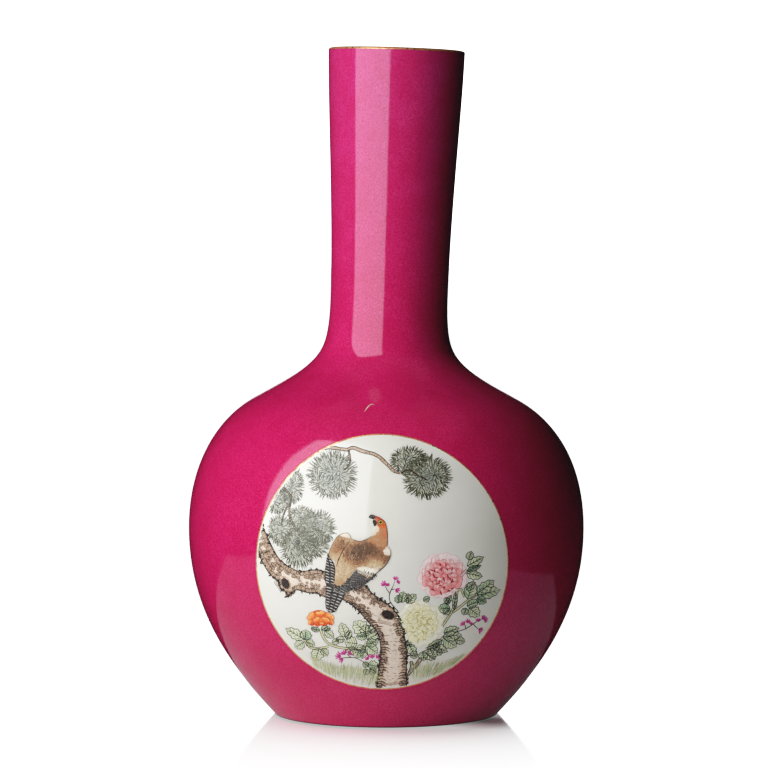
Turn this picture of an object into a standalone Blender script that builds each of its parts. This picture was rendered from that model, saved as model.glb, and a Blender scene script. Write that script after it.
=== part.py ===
"""Porcelain bottle vase: a globular body on a low foot, a tall slender neck that leans a little,
a ruby enamel ground with gilt lip, and a round white panel on the front with raised enamels.

Metres, +Z up, origin on the surface the foot stands on, under the middle of the foot.
The front, with the round panel, faces -Y. The vase is turned about +Z, and everything above
the belly then follows the gentle lean of the thrown neck towards +X.
"""

import math

import bmesh
import bpy
from mathutils import Vector

# The turned outline, as radius and height, with the angle of its run from straight down
# (positive is outwards) and the lengths of the curve handles before and after each point.
MOUTH_RADIUS, MOUTH_HEIGHT = 0.0390, 0.3800
MOUTH_ANGLE, MOUTH_HANDLE = math.radians(-0.8), 0.0340
WAIST_RADIUS, WAIST_HEIGHT = 0.0335, 0.2350
WAIST_HANDLES = (0.0545, 0.0060)
KNEE_RADIUS, KNEE_HEIGHT = 0.0364, 0.2107
KNEE_ANGLE, KNEE_HANDLES = math.radians(23), (0.0057, 0.0121)
SHOULDER_RADIUS, SHOULDER_HEIGHT = 0.0725, 0.1833
SHOULDER_ANGLE, SHOULDER_HANDLES = math.radians(62), (0.0238, 0.0279)
BELLY_RADIUS, BELLY_HEIGHT = 0.1134, 0.1068
BELLY_HANDLES = (0.0372, 0.0460)
FOOT_RADIUS, FOOT_HEIGHT = 0.0637, 0.0
FOOT_ANGLE, FOOT_HANDLE = math.radians(-43.7), 0.0386
CURVE_STEPS = (4, 2, 5, 6, 6)
HOLLOW_STEPS = (2, 1, 4, 5, 5)

# The lean: the axis turns towards +X between these heights and runs straight above them.
LEAN_ANGLE = math.radians(1.77)
LEAN_START, LEAN_END = 0.1360, 0.2350

SEGMENTS = 48
FIT_GAP = 0.0003

# Layers, as depths below the finished outer surface.
COAT_THICKNESS = 0.0005
CLAY_DEPTH = COAT_THICKNESS + FIT_GAP
CLAY_THICKNESS = 0.0045
HOLLOW_DEPTH = CLAY_DEPTH + CLAY_THICKNESS
INNER_GLAZE_DEPTH = HOLLOW_DEPTH + FIT_GAP
INNER_GLAZE_THICKNESS = 0.0004
RAISED_ENAMEL_THICKNESS = 0.0003

# Heights where the thrown sections are luted together, and the bead of slip in each joint.
SLIP_THICKNESS = 0.0009
FOOT_JOINT, BELLY_JOINT, NECK_JOINT = 0.0080, 0.1180, 0.2080

# The foot and the floor above its recess.
FOOT_INNER_RADIUS = 0.0540
FOOT_FACE_INNER_RADIUS, FOOT_FACE_OUTER_RADIUS = 0.0556, 0.0600
FOOT_CHAMFER_HEIGHT = 0.0016
FLOOR_THICKNESS = 0.0062
HOLLOW_TURN_HEIGHT = 0.0300
HOLLOW_TURN_STEPS = 4
BASE_GLAZE_RADIUS, BASE_GLAZE_THICKNESS = 0.0532, 0.0004

# The lip and its gilding.
LIP_THICKNESS = 0.0049
GILT_CAP_HEIGHT = 0.0014
GILT_CAP_STEPS = 6

# The round panel: its middle, and the half axes of its edge as seen from the front.
PANEL_X, PANEL_Z = -0.0024, 0.0955
PANEL_HALF_WIDTH, PANEL_HALF_HEIGHT = 0.0689, 0.0704
GILT_LINE_WIDTH = 0.0008
PANEL_EDGE_POINTS = 72
PANEL_LOW, PANEL_HIGH = 0.0160, 0.1740
PANEL_SECTORS = 12
PRISM_NEAR, PRISM_FAR = -0.130, -0.045

# Raised enamels on the panel, in metres right of and above its middle.
# The pine trunk is two islands of enamel, because the hawk's tail crosses it.
BOUGH_LINE = (
    (-0.0660, 0.0125, 0.0085),
    (-0.0600, 0.0030, 0.0095),
    (-0.0520, -0.0085, 0.0120),
    (-0.0420, -0.0105, 0.0110),
    (-0.0275, -0.0118, 0.0120),
)
TRUNK_LINE = (
    (-0.0135, -0.0212, 0.0125),
    (-0.0060, -0.0262, 0.0130),
    (0.0042, -0.0350, 0.0125),
    (0.0050, -0.0500, 0.0140),
    (0.0058, -0.0660, 0.0150),
)
HAWK_OUTLINE = (
    (-0.0068, 0.0250),
    (-0.0030, 0.0262),
    (0.0020, 0.0220),
    (0.0045, 0.0130),
    (0.0065, 0.0040),
    (0.0010, -0.0045),
    (-0.0080, -0.0120),
    (-0.0165, -0.0200),
    (-0.0265, -0.0282),
    (-0.0285, -0.0262),
    (-0.0205, -0.0150),
    (-0.0180, -0.0070),
    (-0.0255, -0.0050),
    (-0.0300, 0.0000),
    (-0.0292, 0.0080),
    (-0.0225, 0.0150),
    (-0.0110, 0.0172),
)
PINK_PEONY_PLACE, PINK_PEONY_RADIUS = (0.0330, -0.0080), 0.0125
YELLOW_PEONY_PLACE, YELLOW_PEONY_RADIUS = (0.0230, -0.0335), 0.0100
ORANGE_FLOWER_PLACE, ORANGE_FLOWER_RADIUS = (-0.0330, -0.0315), 0.0068
PETALS, PETAL_DEPTH, FLOWER_POINTS = 6, 0.10, 36


def clear_scene():
    """Removes what the startup scene holds."""
    for old in list(bpy.data.objects):
        bpy.data.objects.remove(old, do_unlink=True)


def make_material(name, colour, roughness, metallic=0.0):
    """A Principled material of one colour."""
    material = bpy.data.materials.new(name)
    material.use_nodes = True
    shader = material.node_tree.nodes["Principled BSDF"]
    shader.inputs["Base Color"].default_value = (*colour, 1.0)
    shader.inputs["Roughness"].default_value = roughness
    shader.inputs["Metallic"].default_value = metallic
    material.diffuse_color = (*colour, 1.0)
    return material


def run(angle):
    """The unit direction, in radius and height, that leaves straight down by this angle."""
    return Vector((math.sin(angle), -math.cos(angle)))


def outline_knots():
    """The outline's points from mouth to foot, each with its run and its two handle lengths."""
    return (
        (Vector((MOUTH_RADIUS, MOUTH_HEIGHT)), run(MOUTH_ANGLE), (0.0, MOUTH_HANDLE)),
        (Vector((WAIST_RADIUS, WAIST_HEIGHT)), run(0.0), WAIST_HANDLES),
        (Vector((KNEE_RADIUS, KNEE_HEIGHT)), run(KNEE_ANGLE), KNEE_HANDLES),
        (Vector((SHOULDER_RADIUS, SHOULDER_HEIGHT)), run(SHOULDER_ANGLE), SHOULDER_HANDLES),
        (Vector((BELLY_RADIUS, BELLY_HEIGHT)), run(0.0), BELLY_HANDLES),
        (Vector((FOOT_RADIUS, FOOT_HEIGHT)), run(FOOT_ANGLE), (FOOT_HANDLE, 0.0)),
    )


def curve_point(ends, t):
    """A cubic curve's point and outward normal at t, from its four control points."""
    a, b, c, d = ends
    s = 1.0 - t
    point = a * s**3 + b * (3 * s * s * t) + c * (3 * s * t * t) + d * t**3
    along = (b - a) * (s * s) + (c - b) * (2 * s * t) + (d - c) * (t * t)
    along.normalize()
    return point, Vector((-along.y, along.x))


def outline(depth, curve_steps=CURVE_STEPS):
    """The turned outline from mouth to foot, moved inwards by depth."""
    knots = outline_knots()
    points = []
    for (start, leaving, start_handles), (end, arriving, end_handles), steps in zip(
        knots, knots[1:], curve_steps
    ):
        ends = (
            start,
            start + leaving * start_handles[1],
            end - arriving * end_handles[0],
            end,
        )
        first = 1 if points else 0
        for step in range(first, steps + 1):
            point, normal = curve_point(ends, step / steps)
            points.append(point - normal * depth)
    return points


def between(points, high, low):
    """The stretch of a falling outline from height high to height low, cut level at both."""
    kept = []
    for a, b in zip(points, points[1:]):
        for level in (high, low):
            if b.y < level < a.y:
                kept.append(a.lerp(b, (a.y - level) / (a.y - b.y)))
        if low <= b.y <= high:
            kept.append(b)
    if low <= points[0].y <= high:
        kept.insert(0, points[0])
    return sorted(kept, key=lambda point: -point.y)


def hollow_wall(depth, high, low):
    """The wall of the hollow at this depth, which needs fewer steps than the outside."""
    return between(outline(depth, HOLLOW_STEPS), high, low)


def hollow_line(depth, high):
    """The hollow's own outline at this depth, from height high down to the floor's middle."""
    wall = hollow_wall(depth, high, HOLLOW_TURN_HEIGHT)
    floor = FOOT_JOINT + SLIP_THICKNESS + FIT_GAP + FLOOR_THICKNESS + (depth - HOLLOW_DEPTH)
    edge = wall[-1]
    for step in range(1, HOLLOW_TURN_STEPS + 1):
        turn = math.pi / 2 * step / HOLLOW_TURN_STEPS
        radius = edge.x * math.cos(turn)
        height = edge.y - (edge.y - floor) * math.sin(turn)
        wall.append(Vector((0.0 if step == HOLLOW_TURN_STEPS else radius, height)))
    return wall


def lean(point):
    """Moves a point of the upright turned shape to where the leaning axis carries it."""
    reach = LEAN_END - LEAN_START
    t = min(max((point.z - LEAN_START) / reach, 0.0), 1.0)
    angle = LEAN_ANGLE * t * t * (3 - 2 * t)
    shift = LEAN_ANGLE * reach * (t**3 - t**4 / 2) + LEAN_ANGLE * max(point.z - LEAN_END, 0.0)
    return Vector(
        (shift + point.x * math.cos(angle), point.y, point.z - point.x * math.sin(angle))
    )


def finish_mesh(bm, name, material):
    """Turns faces outwards, applies the lean and links the mesh as a named object."""
    bmesh.ops.remove_doubles(bm, verts=bm.verts, dist=1e-7)
    bmesh.ops.recalc_face_normals(bm, faces=bm.faces)
    for vertex in bm.verts:
        vertex.co = lean(vertex.co)
    mesh = bpy.data.meshes.new(name)
    bm.to_mesh(mesh)
    bm.free()
    mesh.shade_smooth()
    mesh.set_sharp_from_angle(angle=math.radians(35))
    piece = bpy.data.objects.new(name, mesh)
    piece.data.materials.append(material)
    bpy.context.scene.collection.objects.link(piece)
    return piece


def turned(name, section, material, closed=True):
    """Turns a section of (radius, height) points about +Z. An open one ends on the axis."""
    bm = bmesh.new()
    corners = [bm.verts.new((point.x, 0.0, point.y)) for point in section]
    ends = corners[1:] + corners[:1] if closed else corners[1:]
    edges = [bm.edges.new(pair) for pair in zip(corners, ends)]
    bmesh.ops.spin(
        bm,
        geom=corners + edges,
        cent=(0, 0, 0),
        axis=(0, 0, 1),
        angle=2 * math.pi,
        steps=SEGMENTS,
        use_merge=True,
    )
    return finish_mesh(bm, name, material)


def shell_section(outer, inner):
    """The closed section between an outer and an inner stretch of outline."""
    return outer + inner[::-1]


def wall_sector(name, shallow, deep, material):
    """The part of a layer that lies behind the round panel, as a closed block."""
    section = shell_section(
        between(outline(shallow), PANEL_HIGH, PANEL_LOW),
        between(outline(deep), PANEL_HIGH, PANEL_LOW),
    )
    half_angle = math.pi * PANEL_SECTORS / SEGMENTS
    start = -math.pi / 2 - half_angle
    bm = bmesh.new()
    corners = [
        bm.verts.new((point.x * math.cos(start), point.x * math.sin(start), point.y))
        for point in section
    ]
    face = bm.faces.new(corners)
    bmesh.ops.spin(
        bm,
        geom=[face, *face.edges, *face.verts],
        cent=(0, 0, 0),
        axis=(0, 0, 1),
        angle=2 * half_angle,
        steps=PANEL_SECTORS,
    )
    return finish_mesh(bm, name, material)


def prism(name, edge):
    """A hidden cutter: the outline edge, in metres from the panel's middle, run along Y."""
    bm = bmesh.new()
    corners = [bm.verts.new((PANEL_X + u, PRISM_NEAR, PANEL_Z + v)) for u, v in edge]
    face = bm.faces.new(corners)
    made = bmesh.ops.extrude_face_region(bm, geom=[face])
    moved = [item for item in made["geom"] if isinstance(item, bmesh.types.BMVert)]
    bmesh.ops.translate(bm, verts=moved, vec=(0, PRISM_FAR - PRISM_NEAR, 0))
    bmesh.ops.recalc_face_normals(bm, faces=bm.faces)
    mesh = bpy.data.meshes.new(name)
    bm.to_mesh(mesh)
    bm.free()
    cutter = bpy.data.objects.new(name, mesh)
    cutter.hide_render = True
    cutter.display_type = "WIRE"
    bpy.context.scene.collection.objects.link(cutter)
    return cutter


def cut(piece, cutter, operation):
    """Adds a Boolean of the exact kind."""
    boolean = piece.modifiers.new(cutter.name, "BOOLEAN")
    boolean.object = cutter
    boolean.operation = operation
    boolean.solver = "EXACT"


def panel_edge(grow):
    """The panel's edge, moved outwards by grow."""
    edge = []
    for index in range(PANEL_EDGE_POINTS):
        turn = 2 * math.pi * index / PANEL_EDGE_POINTS
        edge.append(
            (
                (PANEL_HALF_WIDTH + grow) * math.cos(turn),
                (PANEL_HALF_HEIGHT + grow) * math.sin(turn),
            )
        )
    return edge


def ribbon_edge(line):
    """The edge of a ribbon along a line of (u, v, width) points."""
    left, right = [], []
    for index, (u, v, width) in enumerate(line):
        before = line[max(index - 1, 0)]
        after = line[min(index + 1, len(line) - 1)]
        across = Vector((before[1] - after[1], after[0] - before[0])).normalized() * width / 2
        left.append((u + across.x, v + across.y))
        right.append((u - across.x, v - across.y))
    return left + right[::-1]


def flower_edge(place, radius):
    """A round flower head whose edge swells at each petal."""
    edge = []
    for index in range(FLOWER_POINTS):
        turn = 2 * math.pi * index / FLOWER_POINTS
        reach = radius * (1 + PETAL_DEPTH * math.cos(PETALS * turn))
        edge.append((place[0] + reach * math.cos(turn), place[1] + reach * math.sin(turn)))
    return edge


def foot_ring(material):
    """The unglazed ring that the vase stands on, with a narrow flat face at the bottom."""
    outer = between(outline(CLAY_DEPTH), FOOT_JOINT - FIT_GAP, FOOT_CHAMFER_HEIGHT)
    section = outer + [
        Vector((FOOT_FACE_OUTER_RADIUS, 0.0)),
        Vector((FOOT_FACE_INNER_RADIUS, 0.0)),
        Vector((FOOT_INNER_RADIUS, FOOT_CHAMFER_HEIGHT)),
        Vector((FOOT_INNER_RADIUS, FOOT_JOINT - FIT_GAP)),
    ]
    turned("foot_ring", section, material)


def slip_seam(name, low, outer_depth, inner_radius, material):
    """The bead of slip that joins two thrown sections."""
    high = low + SLIP_THICKNESS
    outer = between(outline(outer_depth), high, low)
    if inner_radius is None:
        inner = hollow_wall(HOLLOW_DEPTH, high, low)
    else:
        inner = [Vector((inner_radius, high)), Vector((inner_radius, low))]
    turned(name, shell_section(outer, inner), material)


def lower_body(material):
    """The thrown bowl below the belly joint, with the floor over the foot's recess."""
    base = FOOT_JOINT + SLIP_THICKNESS + FIT_GAP
    top = BELLY_JOINT - FIT_GAP
    outer = between(outline(CLAY_DEPTH), top, base)
    inner = hollow_line(HOLLOW_DEPTH, top)
    section = inner[::-1] + outer + [Vector((0.0, base))]
    turned("lower_body", section, material, closed=False)


def shoulder_section(material):
    """The thrown upper half of the body, from the belly joint to the neck joint."""
    low = BELLY_JOINT + SLIP_THICKNESS + FIT_GAP
    high = NECK_JOINT - FIT_GAP
    outer = between(outline(CLAY_DEPTH), high, low)
    inner = hollow_wall(HOLLOW_DEPTH, high, low)
    turned("shoulder_section", shell_section(outer, inner), material)


def neck_range():
    """The lowest and highest levels of the neck's layers under the gilt lip."""
    low = NECK_JOINT + SLIP_THICKNESS + FIT_GAP
    high = MOUTH_HEIGHT - GILT_CAP_HEIGHT - FIT_GAP
    return high, low


def neck(material):
    """The thrown neck, up to the gilt cap on its lip."""
    high, low = neck_range()
    outer = between(outline(CLAY_DEPTH), high, low)
    inner = hollow_wall(HOLLOW_DEPTH, high, low)
    turned("neck", shell_section(outer, inner), material)


def neck_ruby_ground(material):
    """The ruby enamel round the neck."""
    high, low = neck_range()
    outer = between(outline(0.0), high, low)
    inner = between(outline(COAT_THICKNESS), high, low)
    turned("neck_ruby_ground", shell_section(outer, inner), material)


def neck_inner_glaze(material):
    """The clear glaze on the neck's bore."""
    high, low = neck_range()
    outer = hollow_wall(INNER_GLAZE_DEPTH, high, low)
    inner = hollow_wall(INNER_GLAZE_DEPTH + INNER_GLAZE_THICKNESS, high, low)
    turned("neck_inner_glaze", shell_section(outer, inner), material)


def mouth_gilt_band(material):
    """The gilding over the rounded lip."""
    base = MOUTH_HEIGHT - GILT_CAP_HEIGHT
    middle = MOUTH_RADIUS - LIP_THICKNESS / 2
    section = []
    for step in range(GILT_CAP_STEPS + 1):
        turn = math.pi * step / GILT_CAP_STEPS
        radius = middle + LIP_THICKNESS / 2 * math.cos(turn)
        section.append(Vector((radius, base + GILT_CAP_HEIGHT * math.sin(turn))))
    turned("mouth_gilt_band", section, material)


def body_ruby_ground(material):
    """The ruby enamel round the body, with the round window for the panel."""
    high = NECK_JOINT + SLIP_THICKNESS
    outer = between(outline(0.0), high, FOOT_CHAMFER_HEIGHT)
    inner = between(outline(COAT_THICKNESS), high, FOOT_CHAMFER_HEIGHT)
    coat = turned("body_ruby_ground", shell_section(outer, inner), material)
    window = prism("window_cutter", panel_edge(2 * FIT_GAP + GILT_LINE_WIDTH))
    cut(coat, window, "DIFFERENCE")


def medallion_white_panel(material):
    """The round panel of clear glaze over white porcelain."""
    panel = wall_sector("medallion_white_panel", 0.0, COAT_THICKNESS, material)
    cut(panel, prism("panel_cutter", panel_edge(0.0)), "INTERSECT")


def medallion_gilt_line(material):
    """The thin gilt line between the panel and the ruby ground."""
    line = wall_sector("medallion_gilt_line", 0.0, COAT_THICKNESS, material)
    cut(line, prism("gilt_outer_cutter", panel_edge(FIT_GAP + GILT_LINE_WIDTH)), "INTERSECT")
    cut(line, prism("gilt_inner_cutter", panel_edge(FIT_GAP)), "DIFFERENCE")


def raised_enamel(name, edge, material):
    """One motif of thick enamel standing on the panel."""
    low = -FIT_GAP
    motif = wall_sector(name, low - RAISED_ENAMEL_THICKNESS, low, material)
    cut(motif, prism(name + "_cutter", edge), "INTERSECT")


def body_inner_glaze(material):
    """The clear glaze inside the body, from the neck joint down and across the floor."""
    high = NECK_JOINT + SLIP_THICKNESS
    outer = hollow_line(INNER_GLAZE_DEPTH, high)
    inner = hollow_line(INNER_GLAZE_DEPTH + INNER_GLAZE_THICKNESS, high)
    turned("body_inner_glaze", outer[::-1] + inner, material, closed=False)


def base_glaze(material):
    """The disc of clear glaze on the underside, inside the foot ring."""
    top = FOOT_JOINT + SLIP_THICKNESS
    bottom = top - BASE_GLAZE_THICKNESS
    section = [
        Vector((0.0, top)),
        Vector((BASE_GLAZE_RADIUS, top)),
        Vector((BASE_GLAZE_RADIUS, bottom)),
        Vector((0.0, bottom)),
    ]
    turned("base_glaze", section, material, closed=False)


def main():
    clear_scene()
    biscuit = make_material("biscuit_porcelain", (0.80, 0.76, 0.68), 0.70)
    slip = make_material("porcelain_slip", (0.74, 0.70, 0.62), 0.75)
    glaze = make_material("clear_glaze_on_white", (0.86, 0.87, 0.84), 0.08)
    ruby = make_material("ruby_enamel", (0.52, 0.03, 0.14), 0.12)
    gilt = make_material("gilding", (0.78, 0.55, 0.20), 0.25, metallic=1.0)
    bark = make_material("bark_enamel", (0.55, 0.47, 0.36), 0.20)
    feather = make_material("feather_enamel", (0.38, 0.20, 0.10), 0.20)
    pink = make_material("pink_enamel", (0.85, 0.40, 0.42), 0.18)
    yellow = make_material("yellow_enamel", (0.85, 0.66, 0.20), 0.18)
    orange = make_material("orange_enamel", (0.80, 0.25, 0.08), 0.18)

    foot_ring(biscuit)
    slip_seam("foot_slip_seam", FOOT_JOINT, CLAY_DEPTH, FOOT_INNER_RADIUS, slip)
    lower_body(biscuit)
    slip_seam("belly_slip_seam", BELLY_JOINT, CLAY_DEPTH, None, slip)
    shoulder_section(biscuit)
    slip_seam("neck_slip_seam", NECK_JOINT, CLAY_DEPTH, None, slip)
    neck(biscuit)
    body_ruby_ground(ruby)
    neck_ruby_ground(ruby)
    mouth_gilt_band(gilt)
    medallion_white_panel(glaze)
    medallion_gilt_line(gilt)
    raised_enamel("pine_bough_enamel", ribbon_edge(BOUGH_LINE), bark)
    raised_enamel("pine_trunk_enamel", ribbon_edge(TRUNK_LINE), bark)
    raised_enamel("hawk_enamel", HAWK_OUTLINE, feather)
    raised_enamel("pink_peony_enamel", flower_edge(PINK_PEONY_PLACE, PINK_PEONY_RADIUS), pink)
    raised_enamel(
        "yellow_peony_enamel", flower_edge(YELLOW_PEONY_PLACE, YELLOW_PEONY_RADIUS), yellow
    )
    raised_enamel(
        "orange_flower_enamel", flower_edge(ORANGE_FLOWER_PLACE, ORANGE_FLOWER_RADIUS), orange
    )
    neck_inner_glaze(glaze)
    body_inner_glaze(glaze)
    base_glaze(glaze)


main()
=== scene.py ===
"""Porcelain bottle vase: the finished look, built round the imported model.

Metres, +Z up, the foot on z = 0 and the painted panel facing -Y. The vase is turned upright,
then follows the lean of its neck; the painting is thin enamel laid on the panel's surface.
"""

import math
import random
from random import uniform

import bmesh
import bpy
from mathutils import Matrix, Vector, geometry


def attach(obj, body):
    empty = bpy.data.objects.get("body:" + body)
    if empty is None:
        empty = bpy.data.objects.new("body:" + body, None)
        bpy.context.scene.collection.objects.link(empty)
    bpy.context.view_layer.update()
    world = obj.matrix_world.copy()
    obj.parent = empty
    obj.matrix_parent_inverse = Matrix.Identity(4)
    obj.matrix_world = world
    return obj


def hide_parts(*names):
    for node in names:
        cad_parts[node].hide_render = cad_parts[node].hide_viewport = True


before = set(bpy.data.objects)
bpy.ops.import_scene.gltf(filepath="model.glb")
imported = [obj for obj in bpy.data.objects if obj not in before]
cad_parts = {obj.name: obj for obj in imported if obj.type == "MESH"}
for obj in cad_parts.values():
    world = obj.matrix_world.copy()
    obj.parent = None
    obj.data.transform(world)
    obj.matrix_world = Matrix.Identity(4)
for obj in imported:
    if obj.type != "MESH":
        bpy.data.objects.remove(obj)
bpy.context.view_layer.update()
random.seed(1911)

# The turned outline, as in the design, from mouth to foot: radius and height, the angle of its
# run from straight down in degrees, and the curve handles before and after the point.
OUTLINE_KNOTS = (
    (0.0390, 0.3800, -0.8, 0.0, 0.0340),  # mouth
    (0.0335, 0.2350, 0.0, 0.0545, 0.0060),  # waist
    (0.0364, 0.2107, 23.0, 0.0057, 0.0121),  # knee
    (0.0725, 0.1833, 62.0, 0.0238, 0.0279),  # shoulder
    (0.1134, 0.1068, 0.0, 0.0372, 0.0460),  # belly
    (0.0637, 0.0, -43.7, 0.0386, 0.0),  # foot
)
MOUTH_RADIUS, MOUTH_HEIGHT = OUTLINE_KNOTS[0][:2]
BELLY_RADIUS = OUTLINE_KNOTS[4][0]
CURVE_STEPS = (22, 8, 14, 30, 34)
SMOOTHING_PASSES = 6
LEAN_ANGLE = math.radians(1.77)
LEAN_START, LEAN_END = 0.1360, 0.2350

# Layers, as depths below the finished surface, and the joints between the thrown sections.
COAT_THICKNESS, FIT_GAP = 0.0005, 0.0003
COAT_BOTTOM = 0.0003
CLAY_DEPTH, HOLLOW_DEPTH = 0.0008, 0.0053
INNER_GLAZE_DEPTH, INNER_GLAZE_THICKNESS = 0.0056, 0.0004
SLIP_THICKNESS = 0.0009
FOOT_JOINT, BELLY_JOINT, NECK_JOINT = 0.0080, 0.1180, 0.2080
FOOT_INNER_RADIUS = 0.0540
FOOT_FACE_INNER_RADIUS, FOOT_FACE_OUTER_RADIUS = 0.0556, 0.0600
FOOT_CHAMFER_HEIGHT = 0.0016
FOOT_EASE_WIDTH, FOOT_EASE_HEIGHT = 0.0006, 0.0004
# The dark line of painted shadow and dirt at the foot, up to the height where it starts to fade.
FOOT_LINE_HEIGHT = 0.0006
FLOOR_THICKNESS, HOLLOW_TURN_HEIGHT, HOLLOW_TURN_STEPS = 0.0062, 0.0300, 12
BASE_GLAZE_RADIUS, BASE_GLAZE_THICKNESS = 0.0532, 0.0004
LIP_THICKNESS, GILT_CAP_HEIGHT, LIP_STEPS = 0.0049, 0.0014, 14

SHOWN_SEGMENTS, HIDDEN_SEGMENTS = 192, 96

# The round panel, its middle and half axes as seen from the front.
PANEL_X, PANEL_Z = -0.0024, 0.0955
PANEL_HALF_WIDTH, PANEL_HALF_HEIGHT = 0.0689, 0.0704
PANEL_SPOKES, PANEL_RINGS = 192, 44
GILT_LINE_WIDTH, GILT_LINE_HEIGHT = 0.0005, 0.00016
GILT_LINE_GAP = 0.0001
# Across the gilt line: how far out from its middle, and how high above the glaze.
GILT_LINE_PROFILE = ((-1, -0.2), (-0.6, 0.7), (0, 1), (0.6, 0.7), (1, -0.2))

MM = 0.001


# --- The turned outline ---


def left_of(along):
    """The flat vector a quarter turn to the left of along."""
    return Vector((-along.y, along.x))


def sideways(path, index):
    """The unit direction to the left of a path, or out of the outline, at one of its points."""
    along = path[min(index + 1, len(path) - 1)] - path[max(index - 1, 0)]
    return left_of(along).normalized()


def smooth_outline():
    """The finished surface's points from mouth to foot, eased so that reflections run on."""
    knots = []
    for radius, height, degrees, *handles in OUTLINE_KNOTS:
        angle = math.radians(degrees)
        run = Vector((math.sin(angle), -math.cos(angle)))
        knots.append((Vector((radius, height)), run, handles))
    points = [knots[0][0]]
    for (a, leaving, first), (d, arriving, last), steps in zip(knots, knots[1:], CURVE_STEPS):
        b, c = a + leaving * first[1], d - arriving * last[0]
        for step in range(1, steps + 1):
            t = step / steps
            s = 1.0 - t
            points.append(a * s**3 + b * (3 * s * s * t) + c * (3 * s * t * t) + d * t**3)
    for _ in range(SMOOTHING_PASSES):
        trios = zip(points, points[1:], points[2:])
        eased = [(before + here * 2 + after) / 4 for before, here, after in trios]
        points = [points[0], *eased, points[-1]]
    return points


OUTLINE = smooth_outline()
NORMALS = [sideways(OUTLINE, index) for index in range(len(OUTLINE))]


def stretch(depth, high, low):
    """The outline at a depth below the surface, from height high to height low."""
    points = [point - normal * depth for point, normal in zip(OUTLINE, NORMALS)]
    kept = [points[0]] if low <= points[0].y <= high else []
    for a, b in zip(points, points[1:]):
        for level in (high, low):
            if b.y < level < a.y:
                kept.append(a.lerp(b, (a.y - level) / (a.y - b.y)))
        if low <= b.y <= high:
            kept.append(b)
    return sorted(kept, key=lambda point: -point.y)


def layer(outer, inner, high, low):
    """The closed section of a layer between two depths and two heights."""
    return stretch(outer, high, low) + stretch(inner, high, low)[::-1]


def at_height(z):
    """The surface's radius and outward direction at height z."""
    low, high = 0, len(OUTLINE) - 1
    while high - low > 1:
        middle = (low + high) // 2
        if OUTLINE[middle].y > z:
            low = middle
        else:
            high = middle
    share = (OUTLINE[low].y - z) / (OUTLINE[low].y - OUTLINE[high].y)
    normal = NORMALS[low].lerp(NORMALS[high], share).normalized()
    return OUTLINE[low].lerp(OUTLINE[high], share).x, normal


def lean(point):
    """Moves a point of the upright turned shape to where the leaning axis carries it."""
    reach = LEAN_END - LEAN_START
    t = min(max((point.z - LEAN_START) / reach, 0.0), 1.0)
    angle = LEAN_ANGLE * t * t * (3 - 2 * t)
    shift = LEAN_ANGLE * reach * (t**3 - t**4 / 2) + LEAN_ANGLE * max(point.z - LEAN_END, 0.0)
    x, z = point.x * math.cos(angle), point.x * math.sin(angle)
    return Vector((shift + x, point.y, point.z - z))


def outward(x, y, radius, normal):
    """The surface's direction in space where its outline has this radius and direction."""
    return Vector((normal.x * x / radius, normal.x * y / radius, normal.y))


def on_front(u, v, lift):
    """The point u right of and v above the panel's middle, lift above the surface."""
    x, z = PANEL_X + u, PANEL_Z + v
    radius, normal = at_height(z)
    y = -math.sqrt(max(radius * radius - x * x, 0.0))
    return lean(Vector((x, y, z)) + outward(x, y, radius, normal) * lift)


def on_ring(index, spokes, share=1.0, grow=0.0):
    """How far right of and above the panel's middle one of its spokes meets a ring."""
    turn = 2 * math.pi * index / spokes
    u = (PANEL_HALF_WIDTH * share + grow) * math.cos(turn)
    return u, (PANEL_HALF_HEIGHT * share + grow) * math.sin(turn)


# --- Materials ---


def new_material(name):
    """A new node material and its tree."""
    material = bpy.data.materials.new(name)
    material.use_nodes = True
    return material, material.node_tree


def put(tree, socket, value):
    """Links a socket to its source, or sets its number, its vector or its colour."""
    if isinstance(value, bpy.types.NodeSocket):
        tree.links.new(value, socket)
    else:
        socket.default_value = (*value, 1.0) if socket.type == "RGBA" else value


def add(tree, kind, *inputs, **values):
    """A node of a kind: its first inputs in turn, then other inputs and settings by name."""
    node = tree.nodes.new(kind)
    for key, value in values.items():
        if key in node.inputs:
            put(tree, node.inputs[key], value)
        else:
            setattr(node, key, value)
    for socket, value in zip(node.inputs, inputs):
        put(tree, socket, value)
    return node


def metres(tree):
    """The place on the object, in its own metres."""
    return add(tree, "ShaderNodeTexCoord").outputs["Object"]


def height(tree):
    """The height on the object, in metres."""
    return add(tree, "ShaderNodeSeparateXYZ", metres(tree)).outputs["Z"]


def noise(tree, scale, detail=2.0, roughness=0.5):
    """A noise in the object's own metres."""
    values = {"Scale": scale, "Detail": detail, "Roughness": roughness}
    return add(tree, "ShaderNodeTexNoise", metres(tree), **values).outputs["Fac"]


def ranged(tree, source, low, high, to_low=0.0, to_high=1.0):
    """source, stretched from low..high to to_low..to_high and held there."""
    return add(tree, "ShaderNodeMapRange", source, low, high, to_low, to_high).outputs["Result"]


def maths(tree, operation, *sources):
    """The result of a sum on one or two sockets."""
    return add(tree, "ShaderNodeMath", *sources, operation=operation).outputs["Value"]


def mixed(tree, factor, first, second):
    """A colour mix. Each of first and second is a colour or a socket."""
    node = add(tree, "ShaderNodeMix", factor, data_type="RGBA")
    ends = [socket for socket in node.inputs if socket.type == "RGBA"]
    for socket, value in zip(ends, (first, second)):
        put(tree, socket, value)
    return next(socket for socket in node.outputs if socket.type == "RGBA")


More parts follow.
